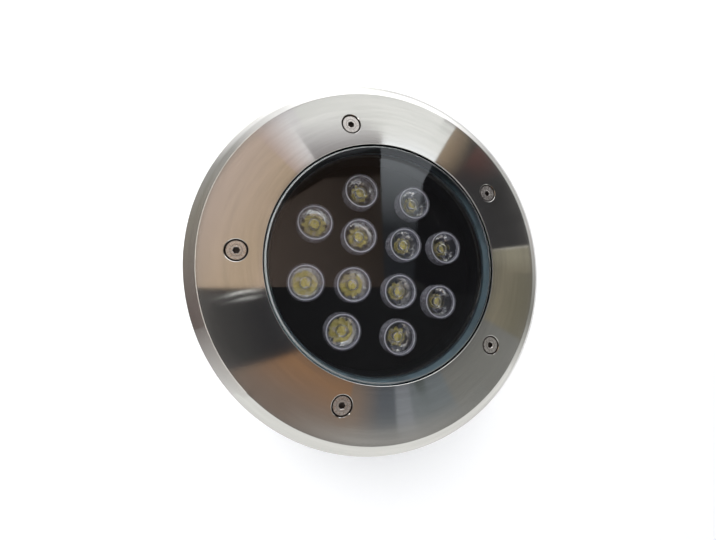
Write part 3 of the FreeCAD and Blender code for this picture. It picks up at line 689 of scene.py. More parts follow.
# ---------------------------------------------------------------- mesh making
def lathe(name: str, profile: Profile, steps: int, closed: bool = True) -> bpy.types.Mesh:
    """Turns an outline round +Z into a mesh with shared points.

    Args:
        name: The mesh's name.
        profile: (radius, height) points in millimetres, anticlockwise seen with the axis on the left.
        steps: Facets round the axis.
        closed: Whether the last point joins the first.

    Returns:
        The mesh, in metres.
    """
    verts, rings, faces = [], [], []
    for radius, height in profile:
        if radius < 1e-6:
            rings.append([len(verts)] * steps)
            verts.append((0.0, 0.0, height * MM))
            continue
        rings.append(list(range(len(verts), len(verts) + steps)))
        for k in range(steps):
            angle = FULL_TURN * k / steps
            verts.append((radius * MM * math.cos(angle), radius * MM * math.sin(angle), height * MM))
    pairs = list(zip(rings, rings[1:]))
    if closed:
        pairs.append((rings[-1], rings[0]))
    for low, high in pairs:
        if low[0] == low[1] and high[0] == high[1]:
            continue
        for k in range(steps):
            n = (k + 1) % steps
            corners = [low[k], low[n], high[n], high[k]]
            face = [c for i, c in enumerate(corners) if c != corners[i - 1]]
            faces.append(face)
    mesh = bpy.data.meshes.new(name)
    mesh.from_pydata(verts, [], faces)
    mesh.validate()
    return mesh


def rounded(profile: Profile, corner: dict[int, float], steps: int = 5) -> Profile:
    """Rounds chosen corners of a closed outline.

    Args:
        profile: The outline's (radius, height) points.
        corner: Number of each point to round, to its radius.
        steps: Facets in each rounded corner.

    Returns:
        The outline with arcs in place of those points.
    """
    result: Profile = []
    count = len(profile)
    for number, here in enumerate(profile):
        if number not in corner:
            result.append(here)
            continue
        point = Vector(here)
        before = Vector(profile[number - 1]) - point
        after = Vector(profile[(number + 1) % count]) - point
        half = before.angle(after) / 2
        setback = min(corner[number] / math.tan(half), before.length * 0.49, after.length * 0.49)
        start = point + before.normalized() * setback
        end = point + after.normalized() * setback
        for k in range(steps + 1):
            t = k / steps
            spot = start.lerp(point, t).lerp(point.lerp(end, t), t)
            result.append((spot.x, spot.y))
    return result


def piece_from(mesh: bpy.types.Mesh, name: str, smooth_angle: float | None = 35.0) -> Thing:
    """Makes a mesh an object in the scene, with its normals outward and its soft edges smooth.

    Args:
        mesh: The mesh.
        name: The object's name.
        smooth_angle: Edges flatter than this many degrees shade smooth; None leaves all faces flat.

    Returns:
        The object.
    """
    tidy = bmesh.new()
    tidy.from_mesh(mesh)
    bmesh.ops.remove_doubles(tidy, verts=tidy.verts, dist=1e-7)
    bmesh.ops.recalc_face_normals(tidy, faces=tidy.faces)
    for edge in tidy.edges:
        sharp = smooth_angle is None or len(edge.link_faces) != 2
        edge.smooth = not (sharp or edge.calc_face_angle(0.0) > math.radians(smooth_angle))
    for face in tidy.faces:
        face.smooth = smooth_angle is not None
    tidy.to_mesh(mesh)
    tidy.free()
    thing = bpy.data.objects.new(name, mesh)
    bpy.context.scene.collection.objects.link(thing)
    return thing


def remember_place(thing: Thing) -> None:
    """Keeps every point's place on the single copy, so that a pattern can follow it after copying.

    Args:
        thing: The single copy.
    """
    mesh = thing.data
    kept = mesh.attributes.new(OWN_PLACE, "FLOAT_VECTOR", "POINT")
    for number, point in enumerate(mesh.vertices):
        kept.data[number].vector = point.co


def baked(thing: Thing) -> Thing:
    """Turns an object's modifiers into its own plain mesh.

    Args:
        thing: The object with modifiers.

    Returns:
        The same object, without them.
    """
    bpy.context.view_layer.update()
    seen = thing.evaluated_get(bpy.context.evaluated_depsgraph_get())
    mesh = bpy.data.meshes.new_from_object(seen)
    thing.modifiers.clear()
    thing.data = mesh
    return thing


def softened(name: str, width: float, sharper_than: float = 40.0) -> Thing:
    """Copies a solid and rounds its sharp edges, which only takes material away.

    Args:
        name: The solid's node.
        width: Width of the rounding in metres.
        sharper_than: Edges that turn by more than this many degrees are rounded.

    Returns:
        The rounded copy.
    """
    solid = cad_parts[name]
    work = bmesh.new()
    work.from_mesh(solid.data)
    work.transform(solid.matrix_world)
    bmesh.ops.remove_doubles(work, verts=work.verts, dist=1e-6)
    bmesh.ops.recalc_face_normals(work, faces=work.faces)
    bmesh.ops.dissolve_limit(work, angle_limit=math.radians(0.5), verts=work.verts, edges=work.edges)
    limit = math.radians(sharper_than)
    sharp = [edge for edge in work.edges if len(edge.link_faces) == 2 and edge.calc_face_angle(0.0) > limit]
    rounding = set(bmesh.ops.bevel(
        work, geom=sharp, offset=width, offset_type="OFFSET", segments=3, profile=0.5, affect="EDGES",
        clamp_overlap=False)["faces"])
    for face in work.faces:
        face.smooth = True
    for edge in work.edges:
        sides = [face in rounding for face in edge.link_faces]
        edge.smooth = len(sides) == 2 and sides[0] == sides[1] and edge.calc_face_angle(0.0) < limit
    open_edges = sum(1 for edge in work.edges if len(edge.link_faces) != 2)
    log.info("%s: %d edges rounded, %d left open", name, len(sharp), open_edges)
    mesh = bpy.data.meshes.new(f"{name}_rounded")
    work.to_mesh(mesh)
    work.free()
    thing = bpy.data.objects.new(f"{name}_rounded", mesh)
    bpy.context.scene.collection.objects.link(thing)
    return thing


def dress(thing: Thing, material: Finish) -> None:
    """Gives every face of an object one material.

    Args:
        thing: The object.
        material: Its finish.
    """
    thing.data.materials.clear()
    thing.data.materials.append(material)
    for face in thing.data.polygons:
        face.material_index = 0


class CopyRing:
    """Geometry Nodes tree that repeats a unit shape on a circle, each copy turned by its place."""

    def __init__(self) -> None:
        """Builds the tree with named inputs for its sizes."""
        self.tree = bpy.data.node_groups.new("copies_on_a_circle", "GeometryNodeTree")
        board = Board(self.tree)
        face = self.tree.interface
        self.sockets = {}
        for name, kind in (
            ("Shape", "NodeSocketGeometry"), ("Count", "NodeSocketInt"), ("Circle radius", "NodeSocketFloat"),
            ("First angle", "NodeSocketFloat"), ("Loose turn", "NodeSocketFloat"), ("Seed", "NodeSocketInt"),
            ("Finish", "NodeSocketMaterial"),
        ):
            self.sockets[name] = face.new_socket(name, in_out="INPUT", socket_type=kind).identifier
        face.new_socket("Copies", in_out="OUTPUT", socket_type="NodeSocketGeometry")
        given = board.add("NodeGroupInput").outputs
        index = board.add("GeometryNodeInputIndex").outputs[0]
        step = board.math("DIVIDE", FULL_TURN, given["Count"])
        angle = board.math("ADD", board.math("MULTIPLY", index, step), given["First angle"])
        x = board.math("MULTIPLY", board.math("COSINE", angle), given["Circle radius"])
        y = board.math("MULTIPLY", board.math("SINE", angle), given["Circle radius"])
        spot = board.add("ShaderNodeCombineXYZ", {0: x, 1: y}).outputs[0]
        dice = board.add("FunctionNodeRandomValue", {"Seed": given["Seed"], "ID": index}, data_type="FLOAT")
        loose = board.math("MULTIPLY", dice.outputs[1], given["Loose turn"])
        turn = board.add("ShaderNodeCombineXYZ", {2: board.math("ADD", angle, loose)}).outputs[0]
        points = board.add("GeometryNodePoints", {"Count": given["Count"], "Position": spot}).outputs[0]
        copies = board.add(
            "GeometryNodeInstanceOnPoints", {"Points": points, "Instance": given["Shape"], "Rotation": turn}
        ).outputs[0]
        solid = board.add("GeometryNodeRealizeInstances", {0: copies}).outputs[0]
        dressed = board.add("GeometryNodeSetMaterial", {"Geometry": solid, "Material": given["Finish"]})
        board.add("NodeGroupOutput", {0: dressed.outputs[0]})

    def spread(self, unit: Thing, material: Finish, sizes: dict) -> Thing:
        """Repeats an object on the circle and bakes the result.

        Args:
            unit: The object with one copy's mesh at the origin.
            material: The finish of every copy.
            sizes: Input name to value.

        Returns:
            The same object, now with all the copies as a plain mesh.
        """
        remember_place(unit)
        change = unit.modifiers.new("copies", "NODES")
        change.node_group = self.tree
        for name, value in sizes.items():
            change[self.sockets[name]] = value
        change[self.sockets["Finish"]] = material
        return baked(unit)


def hand_over(thing: Thing, body: Body, slot: str, *nodes: str) -> None:
    """Puts a finished piece on its body, in place of its solids, and logs it.

    Args:
        thing: The piece.
        body: The body that it rides on.
        slot: Name of a material slot; not used.
        *nodes: The solids that it stands for.
    """
    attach(thing, body.value)
    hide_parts(*nodes)
    log.info("%s: %d faces on %s", thing.name, len(thing.data.polygons), body.value)


# ---------------------------------------------------------------- cover
@dataclass
class CoverFront:
    """Cover ring, its screws, the stepped glass and the gasket. Sizes in millimetres."""

    face_z: float = 112.0
    ring_radius: float = 100.0
    ring_thickness: float = 3.0
    bevel_width: float = 5.6
    bevel_drop: float = 1.7
    bevel_crown: float = 0.55
    edge_round: float = 0.5
    window_radius: float = 65.3
    window_chamfer: float = 0.12
    flat_margin: float = 2.6
    screw_count: int = 5
    first_screw: float = 90.0
    screw_circle: float = 77.3
    countersink_radius: float = 5.4
    countersink_land: float = 0.12
    screw_hole_radius: float = 2.55
    cut_margin: float = 1.0
    head_radius: float = 4.8
    head_sunk: float = 0.25
    head_land: float = 0.3
    head_edge: float = 0.12
    screw_length: float = 16.0
    shank_radius: float = 2.5
    shank_point: float = 0.5
    plain_shank: float = 4.6
    thread_pitch: float = 0.8
    thread_depth: float = 0.36
    socket_flats: float = 3.0
    socket_depth: float = 1.7
    socket_edge: float = 0.2
    glass_radius: float = 71.3
    glass_step_radius: float = 64.7
    glass_face_z: float = 111.7
    glass_flange_z: float = 108.0
    glass_bottom_z: float = 101.7
    glass_arris: float = 1.1
    gasket_inner: float = 62.9
    gasket_seat: float = 71.35
    gasket_outer: float = 72.85
    gasket_top_lip: float = 66.1
    gasket_top_z: float = 109.0
    seat_z: float = 100.2
    edge_land: float = 0.3
    thread_start: float = 0.4
    neck_from: float = 3.2
    neck_to: float = 2.6
    head_step: float = 0.72
    socket_land: float = 0.55
    socket_mouth: float = 0.22
    drill_share: float = 0.6
    drill_depth: float = 0.15
    ring_steps: int = 256
    countersink_steps: int = 64
    screw_steps: int = 48
    glass_steps: int = 224
    gasket_steps: int = 192

    def screw_spots(self) -> list[Vector]:
        """Gives the middle of each screw, in metres.

        Returns:
            The places, from the first screw on.
        """
        apart = 360.0 / self.screw_count
        turns = [math.radians(self.first_screw + apart * k) for k in range(self.screw_count)]
        reach = self.screw_circle * MM
        return [Vector((reach * math.cos(turn), reach * math.sin(turn), 0.0)) for turn in turns]

    def countersinks(self) -> Thing:
        """Builds the cutters for the screw holes, as one object.

        Returns:
            The cutters.
        """
        top = self.face_z
        foot = top - self.ring_thickness - self.cut_margin
        lip = top - self.countersink_land
        hole, mouth = self.screw_hole_radius, self.countersink_radius
        outline = [
            (0, foot), (hole, foot), (hole, lip - (mouth - hole)), (mouth, lip), (mouth + 0.2, top),
            (mouth + 0.3, top + 0.1), (mouth + 0.3, top + self.cut_margin), (0, top + self.cut_margin),
        ]
        joined = bmesh.new()
        for spot in self.screw_spots():
            cutter = lathe("countersink", outline, self.countersink_steps, closed=False)
            cutter.transform(Matrix.Translation(spot))
            joined.from_mesh(cutter)
        mesh = bpy.data.meshes.new("countersinks")
        joined.to_mesh(mesh)
        joined.free()
        return piece_from(mesh, "countersinks", None)

    def ring(self) -> Thing:
        """Builds the ring with its soft bevel and countersunk holes.

        Returns:
            The ring.
        """
        top = self.face_z
        bottom = top - self.ring_thickness
        edge = top - self.bevel_drop
        inside, outside = self.window_radius, self.ring_radius
        crease = outside - self.bevel_width
        profile = [
            (inside, bottom), (outside, bottom), (outside, edge - self.edge_land),
            (outside - self.edge_round, edge), (outside - self.bevel_width * 0.5, top - self.bevel_crown),
            (crease, top), (crease - self.flat_margin, top), (inside + self.window_chamfer, top),
            (inside, top - self.window_chamfer),
        ]
        profile = rounded(profile, {2: 0.35, 3: 0.8, 4: 4.0, 5: 2.2}, 6)
        ring = piece_from(lathe("cover_ring_turned", profile, self.ring_steps), "cover_ring_turned", 20.0)
        cutters = self.countersinks()
        cut = ring.modifiers.new("holes", "BOOLEAN")
        cut.operation = "DIFFERENCE"
        cut.solver = "EXACT"
        cut.object = cutters
        baked(ring)
        bpy.data.objects.remove(cutters)
        self.mark_holes(ring)
        return ring

    def mark_holes(self, ring: Thing) -> None:
        """Marks the faces inside the screw holes, which the ring's finish darkens with painted shade and
        dirt.

        Args:
            ring: The finished ring.
        """
        share = ring.data.attributes.new(HOLE_SHARE, "FLOAT", "FACE")
        reach = (self.countersink_radius + 0.02) * MM
        spots = self.screw_spots()
        for number, face in enumerate(ring.data.polygons):
            near = min((face.center - spot).xy.length for spot in spots)
            if near < reach and face.normal.z < 0.9:
                share.data[number].value = 1.0

    def screw(self) -> Thing:
        """Builds one countersunk screw at the origin with a hexagon socket and a threaded shank.

        Returns:
            The screw.
        """
        steps = self.screw_steps
        top = self.face_z - self.head_sunk
        foot = top - self.screw_length
        apothem = self.socket_flats / 2
        corner = self.socket_flats / math.sqrt(3)
        shank, head = self.shank_radius, self.head_radius
        round_part = [(shank - self.shank_point, foot), (shank, foot + self.shank_point)]
        z = foot + self.shank_point + self.thread_start
        while z < top - self.plain_shank:
            round_part += [(shank, z), (shank - self.thread_depth, z + self.thread_pitch * 0.5)]
            z += self.thread_pitch
        round_part += [
            (shank, top - self.neck_from), (shank, top - self.neck_to), (head, top - self.head_land),
            (head, top - self.head_edge), (head - self.head_edge, top), (head * self.head_step, top),
            (corner + self.socket_land, top),
        ]
        hexagon_part = [
            (self.socket_mouth, top), (0.0, top - self.socket_edge), (0.0, top - self.socket_depth),
        ]
        turns = [FULL_TURN * k / steps for k in range(steps)]
        sides = [apothem / math.cos(turn % (math.pi / 3) - math.pi / 6) for turn in turns]
        rows = [([radius] * steps, z) for radius, z in round_part]
        rows += [([side + extra for side in sides], z) for extra, z in hexagon_part]
        rows.append(([apothem * self.drill_share] * steps, top - self.socket_depth - self.drill_depth))
        verts = [
            (radius * math.cos(turn) * MM, radius * math.sin(turn) * MM, z * MM)
            for radii, z in rows for radius, turn in zip(radii, turns)
        ]
        faces = [
            (low * steps + k, low * steps + (k + 1) % steps, (low + 1) * steps + (k + 1) % steps,
             (low + 1) * steps + k)
            for low in range(len(rows) - 1) for k in range(steps)
        ]
        faces.append(tuple(reversed(range(steps))))
        faces.append(tuple(range(len(verts) - steps, len(verts))))
        mesh = bpy.data.meshes.new("cover_screw")
        mesh.from_pydata(verts, [], faces)
        return piece_from(mesh, "cover_screws_socket_head", 28.0)

    def glass(self) -> Thing:
        """Builds the stepped glass with its polished arris.

        Returns:
            The glass.
        """
        outer, step, arris = self.glass_radius, self.glass_step_radius, self.glass_arris
        foot, flange, face = self.glass_bottom_z, self.glass_flange_z, self.glass_face_z
        profile = [
            (0, foot), (outer - 1.0, foot), (outer, foot), (outer, flange), (step, flange),
            (step, face - arris), (step - arris, face), (step - arris - 0.4, face), (0, face),
        ]
        profile = rounded(profile, {2: 0.6, 3: 0.6, 5: 0.25, 6: 0.25}, 3)
        mesh = lathe("glass_stepped", profile, self.glass_steps, closed=False)
        return piece_from(mesh, "glass_stepped", 25.0)

    def gasket(self) -> Thing:
        """Builds the U-shaped gasket with rounded lips.

        Returns:
            The gasket.
        """
        top, groove_top = self.gasket_top_z, self.glass_flange_z
        profile = [
            (self.gasket_inner, self.seat_z), (self.gasket_outer, self.seat_z), (self.gasket_outer, top),
            (self.gasket_top_lip, top), (self.gasket_top_lip, groove_top), (self.gasket_seat, groove_top),
            (self.gasket_seat, self.glass_bottom_z), (self.gasket_inner, self.glass_bottom_z),
        ]
        profile = rounded(profile, {0: 0.3, 3: 0.4, 4: 0.4, 7: 0.2}, 4)
        return piece_from(lathe("gasket_lipped", profile, self.gasket_steps), "gasket_lipped", 35.0)

    def build(self, copies: CopyRing) -> None:
        """Builds, dresses and hands over the cover's pieces.

        Args:
            copies: The tree that repeats the screws.
        """
        ring = self.ring()
        dress(ring, TurnedSteel().make())
        hand_over(ring, Body.COVER, "ring_steel", "cover_ring")
        screws = copies.spread(self.screw(), TurnedScrewHead().make(), {
            "Count": self.screw_count, "Circle radius": self.screw_circle * MM,
            "First angle": math.radians(self.first_screw), "Loose turn": 1.0, "Seed": 4,
        })
        hand_over(screws, Body.COVER, "cover_screw_steel", "cover_screws")
        glass = self.glass()
        dress(glass, ClearGlass("window_glass", (0.925, 0.955, 0.96), 1.5).make())
        hand_over(glass, Body.COVER, "window_glass", "window_glass")
        gasket = self.gasket()
        dress(gasket, GasketSilicone().make())
        hand_over(gasket, Body.COVER, "gasket_silicone", "glass_gasket")


# ---------------------------------------------------------------- light sources
@dataclass
class LightSources:
    """The twelve cups, lenses and diodes. Sizes in millimetres."""

    board_z: float = 81.0
    front_z: float = 93.1
    cup_radius: float = 10.6
    cup_wall: float = 0.8
    cup_ledge: float = 1.4
    cup_ledge_drop: float = 2.1
    outer_circle: float = 44.8
    inner_circle: float = 20.4
    first_angle: float = 88.7
    lens_gap: float = 0.05
    lens_foot: float = 3.7
    lens_index: float = 1.49
    lens_front_gap: float = 0.3
    lens_foot_gap: float = 0.8
    flange_depth: float = 1.8
    cavity_radius: float = 3.0
    cavity_depth: float = 5.0
    cavity_bulge: float = 1.5
    dimple_radius: float = 3.4
    dimple_depth: float = 0.95
    facets: int = 9
    facet_depth: float = 0.22
    base_radius: float = 3.6
    base_height: float = 1.6
    dome_radius: float = 2.6
    dome_height: float = 2.55
    tab_size: Place = (1.4, 1.6, 0.4)
    tab_place: float = 4.1
    source_height: float = 2.2
    side_drop: float = 2.15
    facet_margin: float = 0.6
    facet_drop: float = 2.0
    facet_core: float = 0.8
    cup_steps: int = 64
    lens_steps: int = 60
    diode_steps: int = 40

    def cup(self) -> Thing:
        """Builds one cup with a rounded rim.

        Returns:
            The cup.
        """
        inner = self.cup_radius - self.cup_wall
        ledge_z = self.front_z - self.cup_ledge_drop
        profile = [
            (inner, self.board_z), (self.cup_radius, self.board_z), (self.cup_radius, self.front_z),
            (inner, self.front_z), (inner, ledge_z), (inner - self.cup_ledge, ledge_z),
            (inner, ledge_z - self.cup_ledge),
        ]
        profile = rounded(profile, {2: 0.39, 3: 0.39, 5: 0.2}, 6)
        return piece_from(lathe("lens_cup", profile, self.cup_steps), "lens_cups", 50.0)

    def lens_radius(self) -> float:
        """Radius of the lens's flange."""
        return self.cup_radius - self.cup_wall - self.lens_gap

    def reflecting_side(self) -> Profile:
        """Shapes the lens side that turns the diode's sideways light straight up by total reflection.

        Returns:
            (radius, height) points in millimetres from the foot up.
        """
        source_z = self.board_z + self.source_height
        radius = self.lens_radius() - self.cup_ledge
        height = self.front_z - self.side_drop
        side = [(radius, height)]
        steps = 14
        reach = (radius - self.lens_foot) / steps
        for _ in range(steps):
            low, high = math.radians(-60.0), math.radians(80.0)
            for _ in range(40):
                middle = (low + high) / 2
                inside = math.asin(math.sin(middle) / self.lens_index)
                rise = self.cavity_radius * math.tan(middle)
                rise += (radius - self.cavity_radius) * math.tan(inside)
                low, high = (middle, high) if rise < height - source_z else (low, middle)
            height -= reach * math.tan((inside + math.pi / 2) / 2)
            radius -= reach
            side.append((radius, height))
        return side[::-1]

    def lens(self) -> Thing:
        """Builds one collimator lens: reflecting side, flange, and a small lens over the diode.

        Returns:
            The lens.
        """
        flange = self.lens_radius()
        top = self.front_z - self.lens_front_gap
        foot = self.board_z + self.lens_foot_gap
        cavity, cavity_top = self.cavity_radius, foot + self.cavity_depth
        bulge = [
            (cavity * math.sin(t), cavity_top - self.cavity_bulge * math.cos(t))
            for t in (math.pi / 2 * k / 7 for k in range(8))
        ]
        dimple = [
            (self.dimple_radius * math.sin(t), top - self.dimple_depth + 0.35 * math.cos(t) ** 2)
            for t in (math.pi / 2 * k / 6 for k in range(5, -1, -1))
        ]
        rim = [
            (0.0, self.flange_depth), (0.0, 0.45), (0.12, 0.18), (0.32, 0.04), (0.55, 0.0), (0.75, 0.12),
            (1.0, 0.25),
        ]
        profile = [(cavity, foot), (self.lens_foot, foot)] + self.reflecting_side()
        profile += [(flange - inward, top - down) for inward, down in rim]
        profile += [(self.dimple_radius + 0.25, top - 0.25), (self.dimple_radius, top - 0.3)] + dimple + bulge
        mesh = lathe("collimator_lens", profile, self.lens_steps)
        self.cut_facets(mesh)
        return piece_from(mesh, "collimator_lenses", 24.0)

    def cut_facets(self, mesh: bpy.types.Mesh) -> None:
        """Flattens the lens's reflecting side and its inner lens into facets.

        Args:
            mesh: The turned lens.
        """
        share = math.pi / self.facets
        rim = self.lens_radius() - self.facet_margin
        below = self.front_z - self.facet_drop
        for point in mesh.vertices:
            radius = math.hypot(point.co.x, point.co.y) / MM
            if radius > rim or radius < self.facet_core or point.co.z / MM > below:
                continue
            turn = (math.atan2(point.co.y, point.co.x) % (2 * share)) - share
            pull = 1.0 - self.facet_depth * (1.0 - math.cos(share) / math.cos(turn))
            point.co.x *= pull
            point.co.y *= pull

    def diode(self) -> Thing:
        """Builds one diode: a round base with two tabs and a phosphor dome.

        Returns:
            The diode.
        """
        foot, rim = self.board_z, self.base_radius
        top = foot + self.base_height
        profile = [(0, foot), (rim, foot), (rim, top - 0.3), (rim - 0.3, top), (self.dome_radius + 0.15, top)]
        for k in range(9):
            t = math.pi / 2 * k / 8
            profile.append((self.dome_radius * math.cos(t), top + 0.02 + self.dome_height * math.sin(t)))
        mesh = lathe("diode", profile, self.diode_steps, closed=False)
        shape = bmesh.new()
        shape.from_mesh(mesh)
        stretch = Matrix.Diagonal((*(size * MM for size in self.tab_size), 1.0))
        for side in (-1, 1):
            tab = bmesh.ops.create_cube(shape, size=1.0)
            place = Matrix.Translation((side * self.tab_place * MM, 0, (foot + self.tab_size[2] / 2) * MM))
            bmesh.ops.transform(shape, matrix=place @ stretch, verts=tab["verts"])
        shape.to_mesh(mesh)
        shape.free()
        return piece_from(mesh, "diodes", 35.0)

    def build(self, copies: CopyRing) -> None:
        """Builds, dresses and hands over cups, lenses and diodes in both rings.

        Args:
            copies: The tree that repeats them.
        """
        acrylic = ClearGlass(
            "lens_acrylic", (0.95, 0.95, 0.97), self.lens_index, 480.0, 0.13 * MM,
            ground_from_radius=9.2 * MM, ground_from_z=91.2 * MM, ground_colour=(0.70, 0.67, 0.74),
            ground_share=0.75, repeated=True)
        kinds = (
            (self.cup, CupPlastic().make(), "holder_clear", "lens_holder"),
            (self.lens, acrylic.make(), "lens_clear", "collimator_lens"),
            (self.diode, DiodeFace().make(), "led_phosphor", "led_emitter"),
        )
        rings = (
            ("outer", 8, self.outer_circle, self.first_angle, 1),
            ("inner", 4, self.inner_circle, self.first_angle + 22.5, 9),
        )
        for make, material, slot, node in kinds:
            for ring, count, radius, angle, first in rings:
                unit = make()
                unit.name = f"{unit.name}_{ring}"
                copies.spread(unit, material, {
                    "Count": count, "Circle radius": radius * MM, "First angle": math.radians(angle),
                    "Loose turn": FULL_TURN, "Seed": 1,
                })
                names = [f"{node}_{number:02d}" for number in range(first, first + count)]
                hand_over(unit, Body.LAMP, slot, *names)


# ---------------------------------------------------------------- solids that keep their shape
@dataclass
class PlainSolids:
    """The solids whose form is right already: they get a finish, and some of them soft edges.

    Widths of the rounded edges are in millimetres.
    """

    sleeve_edge: float = 0.5
    housing_edge: float = 0.4
    driver_edge: float = 0.5
    nut_edge: float = 0.3
    fine_edge: float = 0.25

    def finishes(self) -> dict[str, Finish]:
        """Makes the finishes.

        Returns:
            Node name to its finish.
        """
        sleeve = MouldedPlastic(
            "sleeve_plastic", (0.030, 0.030, 0.032), (0.040, 0.040, 0.042), 0.42, 1400.0,
            gloss_patches=0.04, patch_scale=150.0).make()
        cast = CastAluminium().make()
        plate = MouldedPlastic(
            "plate_black", (0.0032, 0.0032, 0.0037), (0.005, 0.0047, 0.005), 0.09, 300.0,
            gloss_patches=0.025, shine=0.06, grain_strength=0.015).make()
        mask = MouldedPlastic(
            "board_mask", (0.008, 0.009, 0.011), (0.014, 0.014, 0.016), 0.45, 900.0, shine=0.3).make()
        pad = MouldedPlastic("thermal_pad", (0.30, 0.36, 0.44), (0.26, 0.31, 0.38), 0.6, 900.0).make()
        sheet = PlainMetal("rolled_aluminium", (0.66, 0.67, 0.68), (0.56, 0.57, 0.58), 0.32, 500.0).make()
        steel = PlainMetal("plated_steel", (0.60, 0.59, 0.56), (0.48, 0.47, 0.44), 0.28, 900.0).make()
        driver = MouldedPlastic("driver_case", (0.62, 0.62, 0.60), (0.52, 0.52, 0.50), 0.45, 900.0).make()
        terminal = MouldedPlastic(
            "terminal_plastic", (0.55, 0.55, 0.50), (0.46, 0.46, 0.42), 0.4, 900.0).make()
        nylon = MouldedPlastic(
            "gland_nylon", (0.022, 0.022, 0.024), (0.040, 0.040, 0.042), 0.38, 1200.0).make()
        rubber = MouldedPlastic(
            "seal_rubber", (0.018, 0.018, 0.019), (0.030, 0.030, 0.031), 0.6, 900.0).make()
        table = {
            "ground_sleeve": sleeve, "lamp_housing": cast, "front_plate": plate, "led_board": mask,
            "thermal_pad": pad, "carrier_plate": sheet, "board_screws": steel, "carrier_screws": steel,
            "driver_screws": steel, "led_driver": driver, "terminal_block": terminal, "gland_body": nylon,
            "gland_locknut": nylon, "gland_nut": nylon, "gland_seal": rubber, "gland_oring": rubber,
        }
        for name, colour in (
            ("board_wire_red", (0.42, 0.02, 0.02)), ("board_wire_black", (0.015, 0.015, 0.015)),
            ("supply_wire_brown", (0.15, 0.055, 0.022)), ("supply_wire_blue", (0.02, 0.08, 0.33)),
        ):
            darker = tuple(0.8 * part for part in colour)
            table[name] = MouldedPlastic(f"{name}_skin", colour, darker, 0.35, 900.0).make()
        return table

    def rounding(self) -> dict[str, tuple[Body, str, float]]:
        """Lists the solids that get soft edges.

        Returns:
            Node name to its body, its material slot and the width of its rounding.
        """
        return {
            "ground_sleeve": (Body.SLEEVE, "sleeve_plastic", self.sleeve_edge),
            "lamp_housing": (Body.LAMP, "housing_aluminium", self.housing_edge),
            "carrier_plate": (Body.LAMP, "carrier_aluminium", self.fine_edge),
            "led_driver": (Body.LAMP, "driver_case", self.driver_edge),
            "terminal_block": (Body.LAMP, "terminal_plastic", self.fine_edge),
            "gland_body": (Body.LAMP, "gland_nylon", self.fine_edge),
            "gland_locknut": (Body.LAMP, "gland_nylon", self.fine_edge),
            "gland_nut": (Body.LAMP, "gland_nylon", self.nut_edge),
        }

    def build(self) -> None:
        """Dresses each solid, or the copy of it with soft edges."""
        rounding = self.rounding()
        for name, material in self.finishes().items():
            if name in rounding:
                body, slot, width = rounding[name]
                piece = softened(name, width * MM)
                dress(piece, material)
                hand_over(piece, body, slot, name)
            else:
                dress(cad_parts[name], material)
                log.info("%s: dressed", name)


# ---------------------------------------------------------------- studio and camera
def on_face(radius: float, angle: float) -> Vector:
    """Gives a point of the lamp's face.

    Args:
        radius: Distance from the middle in millimetres.
        angle: Angle in degrees, from +X towards +Y.

    Returns:
        The point in metres.
    """
    return Vector((math.cos(math.radians(angle)), math.sin(math.radians(angle)))) * radius * MM


def arc(inner: float, outer: float, start: float, end: float) -> tuple[Spot, ...]:
    """Gives the outline of a part of a ring.

    Args:
        inner: Inner radius in millimetres.
        outer: Outer radius in millimetres.
        start: First angle in degrees.
        end: Last angle in degrees.

    Returns:
        Corners as radius and angle.
    """
    steps = max(1, math.ceil((end - start) / 6.0))
    angles = [start + (end - start) * k / steps for k in range(steps + 1)]
    return tuple([(inner, angle) for angle in angles] + [(outer, angle) for angle in reversed(angles)])


